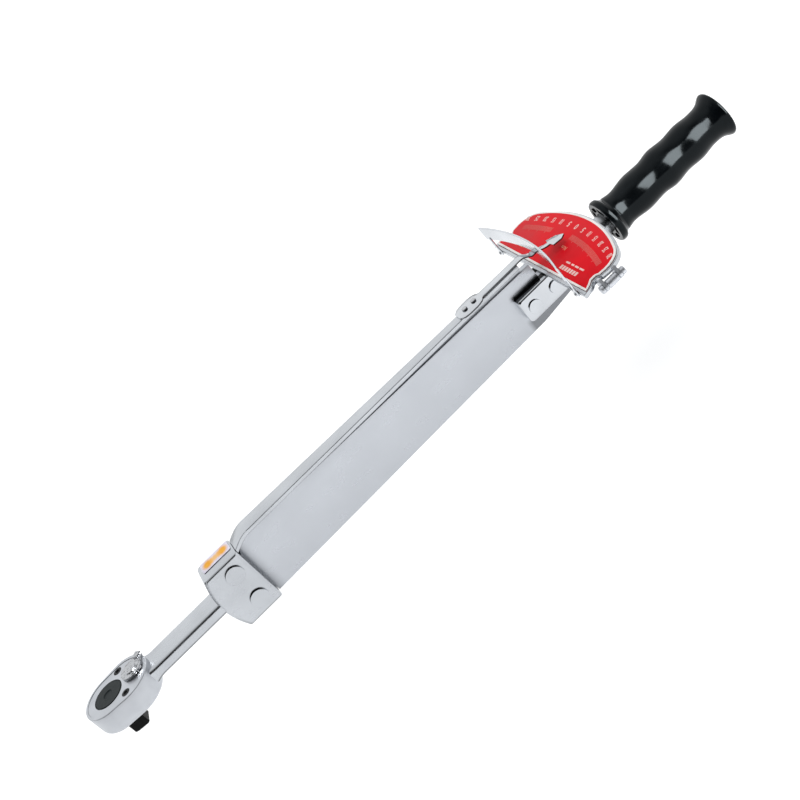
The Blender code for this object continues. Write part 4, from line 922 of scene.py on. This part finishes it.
def plate_outline(margin=0.0, front=None):
    """Plan of the scale plate, grown by a margin; the straight front edge may have its own."""
    front = margin if front is None else front
    shoulder = PLATE_SHOULDER
    swing = math.atan2(shoulder.y, shoulder.x - PLATE_ARC_X)
    reach = (shoulder - Vector((PLATE_ARC_X, 0.0))).length
    notch = ((-front, 0.0), (0.0050, 0.0022), (0.0085, 0.0053), (0.0125, 0.0053), (0.0150, 0.0030))
    upper = [(PLATE_BASE_X + along, PLATE_BASE_HALF + margin - depth) for along, depth in notch]
    upper += arc(tuple(shoulder), PLATE_ARC_RADIUS - reach + margin, QUARTER, swing, 18)
    outer = arc((PLATE_ARC_X, 0.0), PLATE_ARC_RADIUS + margin, swing, -swing, 56)[1:-1]
    return upper + outer + [(x, -y) for x, y in reversed(upper)]


def printed(name, shape, material):
    """Finish a piece of ink on the scale plate."""
    placed(mesh_object(name, shape), material, HANDLE, [], 60.0)


def patch(start, right, end, left):
    """Rectangle of ink between two x and two y."""
    return box((start, right, INK_LOW), (end, left, INK_HIGH))


def build_plate():
    """Scale plate, with the white border that laps over its edge."""
    plate = mesh_object("scale_face", prism_z(plate_outline(), PLATE_LOW.z, PLATE_HIGH.z))
    rounded(plate, 0.00015, 2)
    placed(plate, RED, HANDLE, ["scale_plate"])
    lap = 0.00006
    outer, inner = plate_outline(lap), plate_outline(-BORDER_WIDTH)
    border = [(outer, PLATE_LOW.z + 0.0001), (outer, INK_HIGH), (inner, INK_HIGH), (inner, INK_LOW)]
    printed("scale_border", stacked(border, closed=True), WHITE_INK)


def build_figures():
    """Unit mark, the figures along the scale's arc, and the smaller print as plain patches."""
    marks = []
    for step in range(-6, 7):
        angle = math.radians(NUMBER_STEP * step + 0.4)
        shape = lettering(str(abs(step) * 5), 0.0064)
        narrow = 0.92 if abs(step) < 2 else 0.62
        shape.transform(Matrix.Diagonal((narrow, 1.0, 1.0, 1.0)))
        place = (PIVOT_X + NUMBER_RADIUS * math.cos(angle), NUMBER_RADIUS * math.sin(angle), INK_MIDDLE)
        marks.append(moved(shape, place, Matrix.Rotation(angle + QUARTER, 4, "Z")))
    unit = moved(lettering("N.m", 0.0042), (0.4352, -0.0075, INK_MIDDLE), Matrix.Rotation(QUARTER, 4, "Z"))
    printed("scale_unit", unit, UNIT_INK)
    for i in range(7):
        y = -0.0245 - 0.0036 * i
        marks.append(patch(0.4205, y - 0.0013, 0.4238, y + 0.0013))
    for right, left in ((-0.0500, -0.0440), (-0.0425, -0.0375), (-0.0360, -0.0322), (-0.0300, -0.0246)):
        marks.append(patch(0.4262, right, 0.4276, left))
    printed("scale_numbers", together(marks), FIGURE_INK)
    notes = [patch(0.4215, 0.0372 + 0.0030 * i, 0.4236, 0.0394 + 0.0030 * i) for i in range(4)]
    printed("scale_note", together(notes), YELLOW_INK)


def build_ticks():
    """Fine division along the scale's arc, left out about the middle."""
    ticks = []
    for i in range(-53, 54):
        if -3 < i < 22:
            continue
        depth = 0.0056 if i % 9 == 0 else 0.0044
        tick = patch(TICK_RADIUS - depth, -TICK_HALF_WIDTH, TICK_RADIUS, TICK_HALF_WIDTH)
        ticks.append(moved(tick, (PIVOT_X, 0.0, 0.0), Matrix.Rotation(math.radians(i * TICK_STEP), 4, "Z")))
    printed("scale_ticks", together(ticks), PINK_INK)


def build_tray():
    """Pressed frame under the plate, hollow from below and open at the front where the rod enters."""
    top, roof, mouth_half = PLATE_LOW.z - 0.0003, PLATE_LOW.z - 0.0018, 0.022
    tray = mesh_object("scale_tray", prism_z(plate_outline(0.0015, 0.0027), TRAY_BOTTOM, top))
    rounded(tray, 0.0004, 3)
    boolean(tray, [prism_z(plate_outline(0.0005, 0.0014), TRAY_BOTTOM - 0.0010, roof),
                   box((0.4050, -mouth_half, TRAY_BOTTOM - 0.0020), (0.4170, mouth_half, roof))])
    placed(tray, NICKEL, HANDLE, ["scale_frame"], 30.0)


def build_ears():
    """Two ears at each side of the frame, rounded about the stud that they hold."""
    top = FRAME_TOP - 0.0004
    ears = []
    for name in FRAME_BOLTS:
        bolt = middle_of(name)
        side = math.copysign(1.0, bolt.y)
        turn = (-125.0, 50.0) if side > 0 else (-55.0, -230.0)
        inside = bolt.y - side * 0.0098
        outline = [(inside, top), (inside, bolt.z - 0.0010)]
        outline += arc((bolt.y, bolt.z), 0.0032, math.radians(turn[0]), math.radians(turn[1]), 16)
        outline += [(bolt.y - side * 0.0016, top)]
        ears += [prism_x(outline, x, x + EAR_THICKNESS) for x in EAR_X]
    brackets = mesh_object("frame_ears", together(ears))
    rounded(brackets, 0.0003, 2)
    placed(brackets, EAR_STEEL, HANDLE, ["scale_frame"], 30.0)


def build_frame_bolts():
    """Turned studs through the frame's ears, thick between them and with a head at each end."""
    head, shank, drum, foot, face = 0.0030, 0.0019, 0.0033, 0.0028, 0.0022
    edge = 0.0005
    before, near = EAR_X[0] - STUD_GAP, EAR_X[0] + EAR_THICKNESS + STUD_GAP
    far, behind = EAR_X[1] - STUD_GAP, EAR_X[1] + EAR_THICKNESS + STUD_GAP
    for name in FRAME_BOLTS:
        middle = middle_of(name)
        start, end = lo(name).x, hi(name).x
        profile = [(0.0, start), (face, start), (head, start + 0.0006), (head, before), (shank, before),
                   (shank, near), (drum - edge, near), (drum, near + edge), (drum, far - edge),
                   (drum - edge, far), (shank, far), (shank, behind), (foot, behind), (foot, end - 0.0006),
                   (face, end), (0.0, end)]
        shape = moved(lathe(profile, 40), (0.0, middle.y, middle.z), TO_X)
        placed(mesh_object(name + "_turned", shape), EAR_STEEL, HANDLE, [name])


# ---- guard
GUARD_RADIUS = 0.2500
GUARD_APEX_X = 0.4188
GUARD_HALF_WIDTH = 0.0632
GUARD_BOTTOM = 0.0500
GUARD_THICKNESS = 0.0014
GUARD_LEG_X = (0.4108, 0.4120)
GUARD_LEG_WIDTH = 0.0060


def bent_strip(angles):
    """Guard strip along its arc, with softly rounded long edges."""
    centre, middle = GUARD_APEX_X - GUARD_RADIUS, (GUARD_BOTTOM + GUARD_HIGH.z) / 2.0
    half_height = (GUARD_HIGH.z - GUARD_BOTTOM) / 2.0
    ring = round_rect(GUARD_THICKNESS / 2.0, half_height, GUARD_THICKNESS * 0.20, 3)
    reaches = [(GUARD_RADIUS + offset, middle + z) for offset, z in ring]
    return loft([[(centre + reach * math.cos(angle), reach * math.sin(angle), z) for reach, z in reaches]
                 for angle in angles])


def build_guard():
    """Bowed strip over the needle, with a flat leg at each end down to the frame's front rim."""
    end = math.asin(GUARD_HALF_WIDTH / GUARD_RADIUS)
    guard = mesh_object("guard_strip", bent_strip([-end + 2.0 * end * i / 90 for i in range(91)]))
    placed(guard, GUARD_CHROME, HANDLE, ["pointer_guard"], 35.0)
    for side in (-1.0, 1.0):
        inner, outer = sorted((side * (GUARD_HALF_WIDTH - GUARD_LEG_WIDTH), side * GUARD_HALF_WIDTH))
        low, high = (GUARD_LEG_X[0], inner, GUARD_LOW.z), (GUARD_LEG_X[1], outer, GUARD_BOTTOM + 0.0020)
        leg = mesh_object("guard_leg", box(low, high))
        rounded(leg, 0.0004, 3)
        placed(leg, GUARD_CHROME, HANDLE, ["pointer_guard"], 35.0)


# ---- grip and label
# (x, radius) of the neck and of each finger wave, valley and crest in turn
GRIP_WAVES = ((0.4785, 0.0143), (0.4864, 0.0133), (0.5016, 0.0149), (0.5146, 0.0143), (0.5259, 0.0157),
              (0.5390, 0.0145), (0.5510, 0.0153), (0.5640, 0.0141))
FLANGE_RIBS = 8


def build_grip():
    """Finger-waved grip with a hollow ribbed flange, bored for the rod, its stud and the nut."""
    start, end = GRIP_LOW.x, GRIP_HIGH.x
    keys = [(0.0166, start), (0.0174, start + 0.0010), (0.0176, start + 0.0026), (0.0172, start + 0.0046),
            (0.0156, start + 0.0062), (0.0143, start + 0.0080)]
    for (near, first), (far, second) in zip(GRIP_WAVES, GRIP_WAVES[1:]):
        for i in range(1, 9):
            share = i / 8.0
            radius = between(first, second, (1.0 - math.cos(math.pi * share)) / 2.0)
            keys.append((radius, between(near, far, share)))
    keys += [(0.01415, end - 0.0135), (0.0143, end - 0.0115), (0.0149, end - 0.0086), (0.0159, end - 0.0063),
             (0.0172, end - 0.0043), (0.0181, end - 0.0025), (0.0182, end - 0.0014), (0.0177, end - 0.0004),
             (0.0165, end)]
    profile = [(0.0, start)] + [(max(r, 0.001), x) for r, x in smooth_path(keys, 4)] + [(0.0, end)]
    grip = mesh_object("grip", along_x(profile, 96))
    bore, stud_bore, nut_bore, over = 0.0083, 0.0053, 0.0096, 0.002
    rod_end, seat = end - 0.0149, end - 0.0120
    cuts = [along_x([(0.0, start - over), (bore, start - over), (bore, rod_end), (stud_bore, rod_end),
                     (stud_bore, seat), (nut_bore, seat), (nut_bore, end + over), (0.0, end + over)], 64)]
    step, half_rib = 2.0 * math.pi / FLANGE_RIBS, math.radians(4.0)
    for i in range(FLANGE_RIBS):
        first, second = i * step + half_rib, (i + 1) * step - half_rib
        sector = arc((0.0, AXIS_Z), 0.0138, first, second, 10) + arc((0.0, AXIS_Z), 0.0100, second, first, 10)
        cuts.append(prism_x(sector, start - over, start + 0.0090))
    boolean(grip, cuts)
    return placed(grip, BLACK_GRIP, HANDLE, ["handle_grip"], 35.0)


def build_label():
    """Film label on top of the block."""
    low, high, middle = lo("clamp_label"), hi("clamp_label"), middle_of("clamp_label")
    outline = [(middle.x + x, middle.y + y)
               for x, y in round_rect(high.x - middle.x, high.y - middle.y, 0.0012, 5)]
    label = mesh_object("label", prism_z(outline, low.z, high.z))
    rounded(label, 0.00008, 2)
    placed(label, LABEL, HEAD, ["clamp_label"], 50.0)


build_head()
build_shank()
build_block()
build_rivets(["clamp_rivet_1", "clamp_rivet_2"], 0.0070, 0.0016, RIVET_NICKEL, HEAD)
leaf = build_leaf()
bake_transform(leaf)
build_pointer_bar()
build_needle()
build_end_clamp()
build_rivets(["end_clamp_rivet_1", "end_clamp_rivet_2"], 0.0052, 0.0014, CHROME, HANDLE)
build_rod()
build_plate()
build_figures()
build_ticks()
build_tray()
build_ears()
build_frame_bolts()
build_guard()
grip = build_grip()
build_label()

# CAD nodes that stay, with their material and the width of their rounded edges
for material, width, nodes in (
        (HEAD_NICKEL, 0.00008, ("head_cover",)), (BLACK_OXIDE, 0.00015, ("cover_screw_1", "cover_screw_2")),
        (BLACK_CAP, 0.0003, ("drive_spindle",)), (LEVER_NICKEL, 0.0004, ("reversing_lever",)),
        (BLACK_OXIDE, 0.0, ("lever_clip",)), (NICKEL, 0.0005, ("scale_saddle",)),
        (STEEL, 0.0, ("detent_ball", "detent_spring", "lever_plunger", "lever_spring")),
        (STEEL, 0.0001, ("needle_screw_1", "needle_screw_2", "saddle_screw_1", "saddle_screw_2",
                         "guard_rivet_1", "guard_rivet_2", "grip_washer")),
        (STEEL, 0.0002, ("pawl", "rod_pin", "grip_nut")), (BLACK_GRIP, 0.0003, ("grip_end_plug",))):
    for node in nodes:
        dressed(node, material, width)

# ---- stage, light and camera
FLOOR_Z = -0.060
FLOOR_REACH = 6.0
WRENCH_MIDDLE = (0.28, 0.0, 0.03)
VIEW_TARGET = Vector((0.28207, 0.0, 0.03943))
VIEW_DISTANCE = 1.02333
VIEW_AZIMUTH, VIEW_ELEVATION, VIEW_ROLL = -0.040, 0.485, -0.757


def build_stage():
    """Large pale floor, glowing towards the back so that it runs into the background."""
    shape = bmesh.new()
    signs = ((-1, -1), (1, -1), (1, 1), (-1, 1))
    shape.faces.new([shape.verts.new((x * FLOOR_REACH, y * FLOOR_REACH, FLOOR_Z)) for x, y in signs])
    floor = mesh_object("floor", shape)
    mat, tree, shader = shader_of("floor_paper", (0.86, 0.865, 0.87), 0.9, 0.0)
    shader.inputs["Specular IOR Level"].default_value = 0.0
    shader.inputs["Emission Color"].default_value = (1.0, 1.0, 1.0, 1.0)
    glow = ranged(tree, coordinate(tree, "Y"), 0.36, 0.62, 0.10, 1.60)
    tree.links.new(glow, shader.inputs["Emission Strength"])
    floor.data.materials.append(mat)


def soft_light(name, direction, distance, size, power, target=WRENCH_MIDDLE, shine=False, fill=True, only=()):
    """Soft light: shine shows it in gloss, fill lights matt surfaces, only names the pieces it may light."""
    data = bpy.data.lights.new(name, "AREA")
    data.shape = "RECTANGLE"
    data.size, data.size_y = size
    data.energy = power
    light = in_scene(name, data)
    way = Vector(direction).normalized()
    light.visible_glossy = shine
    light.visible_diffuse = fill
    light.location = Vector(target) + way * distance
    light.rotation_euler = (-way).to_track_quat("-Z", "Y").to_euler()
    if only:
        light.light_linking.receiver_collection = bpy.data.collections.new(name + "_receivers")
        for obj in only:
            light.light_linking.receiver_collection.objects.link(obj)


# (height, brightness) from straight down at 0 to straight up at 1
WORLD_FRONT = ((0.0, 0.70), (0.44, 0.60), (0.475, 0.05), (0.56, 0.03), (0.80, 0.04), (0.90, 0.08),
               (0.955, 0.60), (1.0, 1.0))
WORLD_BACK = ((0.0, 0.80), (0.485, 0.80), (0.495, 0.25), (0.53, 0.25), (0.57, 1.05), (0.62, 1.15),
              (0.80, 1.15), (1.0, 1.0))


def build_world():
    """Studio: bright behind the wrench but for a grey band at the horizon, dark in front above the floor."""
    world = bpy.data.worlds.new("studio")
    world.use_nodes = True
    bpy.context.scene.world = world
    tree = world.node_tree
    background = tree.nodes["Background"]
    way = tree.nodes.new("ShaderNodeTexCoord").outputs["Generated"]
    height = ranged(tree, component(tree, way, "Z"), 0.0, 1.0, -1.0, 1.0)
    ramps = []
    for stops in (WORLD_FRONT, WORLD_BACK):
        ramp = tree.nodes.new("ShaderNodeValToRGB")
        ramp.color_ramp.elements.remove(ramp.color_ramp.elements[1])
        for i, (place, value) in enumerate(stops):
            stop = ramp.color_ramp.elements[0] if i == 0 else ramp.color_ramp.elements.new(place)
            stop.position = place
            stop.color = (value * 0.985, value * 0.995, value, 1.0)
        tree.links.new(height, ramp.inputs["Fac"])
        ramps.append(ramp.outputs["Color"])
    side = ranged(tree, component(tree, way, "Y"), 0.0, 1.0, -0.15, 0.25)
    tree.links.new(mixed(tree, side, ramps[0], ramps[1]), background.inputs["Color"])


def build_camera():
    """Camera at the product view: slightly above, rolled so that the wrench runs corner to corner."""
    level_reach = math.cos(VIEW_ELEVATION)
    away = Vector((math.sin(VIEW_AZIMUTH) * level_reach, -math.cos(VIEW_AZIMUTH) * level_reach,
                   math.sin(VIEW_ELEVATION)))
    level = Vector((0.0, 0.0, 1.0)).cross(away).normalized()
    upright = away.cross(level)
    right = level * math.cos(VIEW_ROLL) + upright * math.sin(VIEW_ROLL)
    up = upright * math.cos(VIEW_ROLL) - level * math.sin(VIEW_ROLL)
    data = bpy.data.cameras.new("camera")
    data.lens = 67.19
    data.sensor_width = 36.0
    data.clip_start = 0.01
    camera = in_scene("camera", data)
    turn = Matrix((right, up, away)).transposed().to_4x4()
    camera.matrix_world = Matrix.Translation(VIEW_TARGET + away * VIEW_DISTANCE) @ turn
    bpy.context.scene.camera = camera


build_stage()
build_world()
soft_light("key_softbox", (0.30, -0.85, 0.60), 1.40, (0.90, 0.90), 9.0)
soft_light("top_softbox", (0.10, 0.25, 1.0), 1.4, (1.6, 1.2), 5.0)
soft_light("strip_softbox", (0.539, -0.741, 0.4007), 1.30, (0.86, 1.20), 66.0, (0.53, 0.0, AXIS_Z),
           shine=True, fill=False, only=(grip, frame["nodes"]["reversing_lever"]))
build_camera()
bpy.context.scene.view_settings.view_transform = "Standard"
bpy.context.scene.view_settings.look = "None"
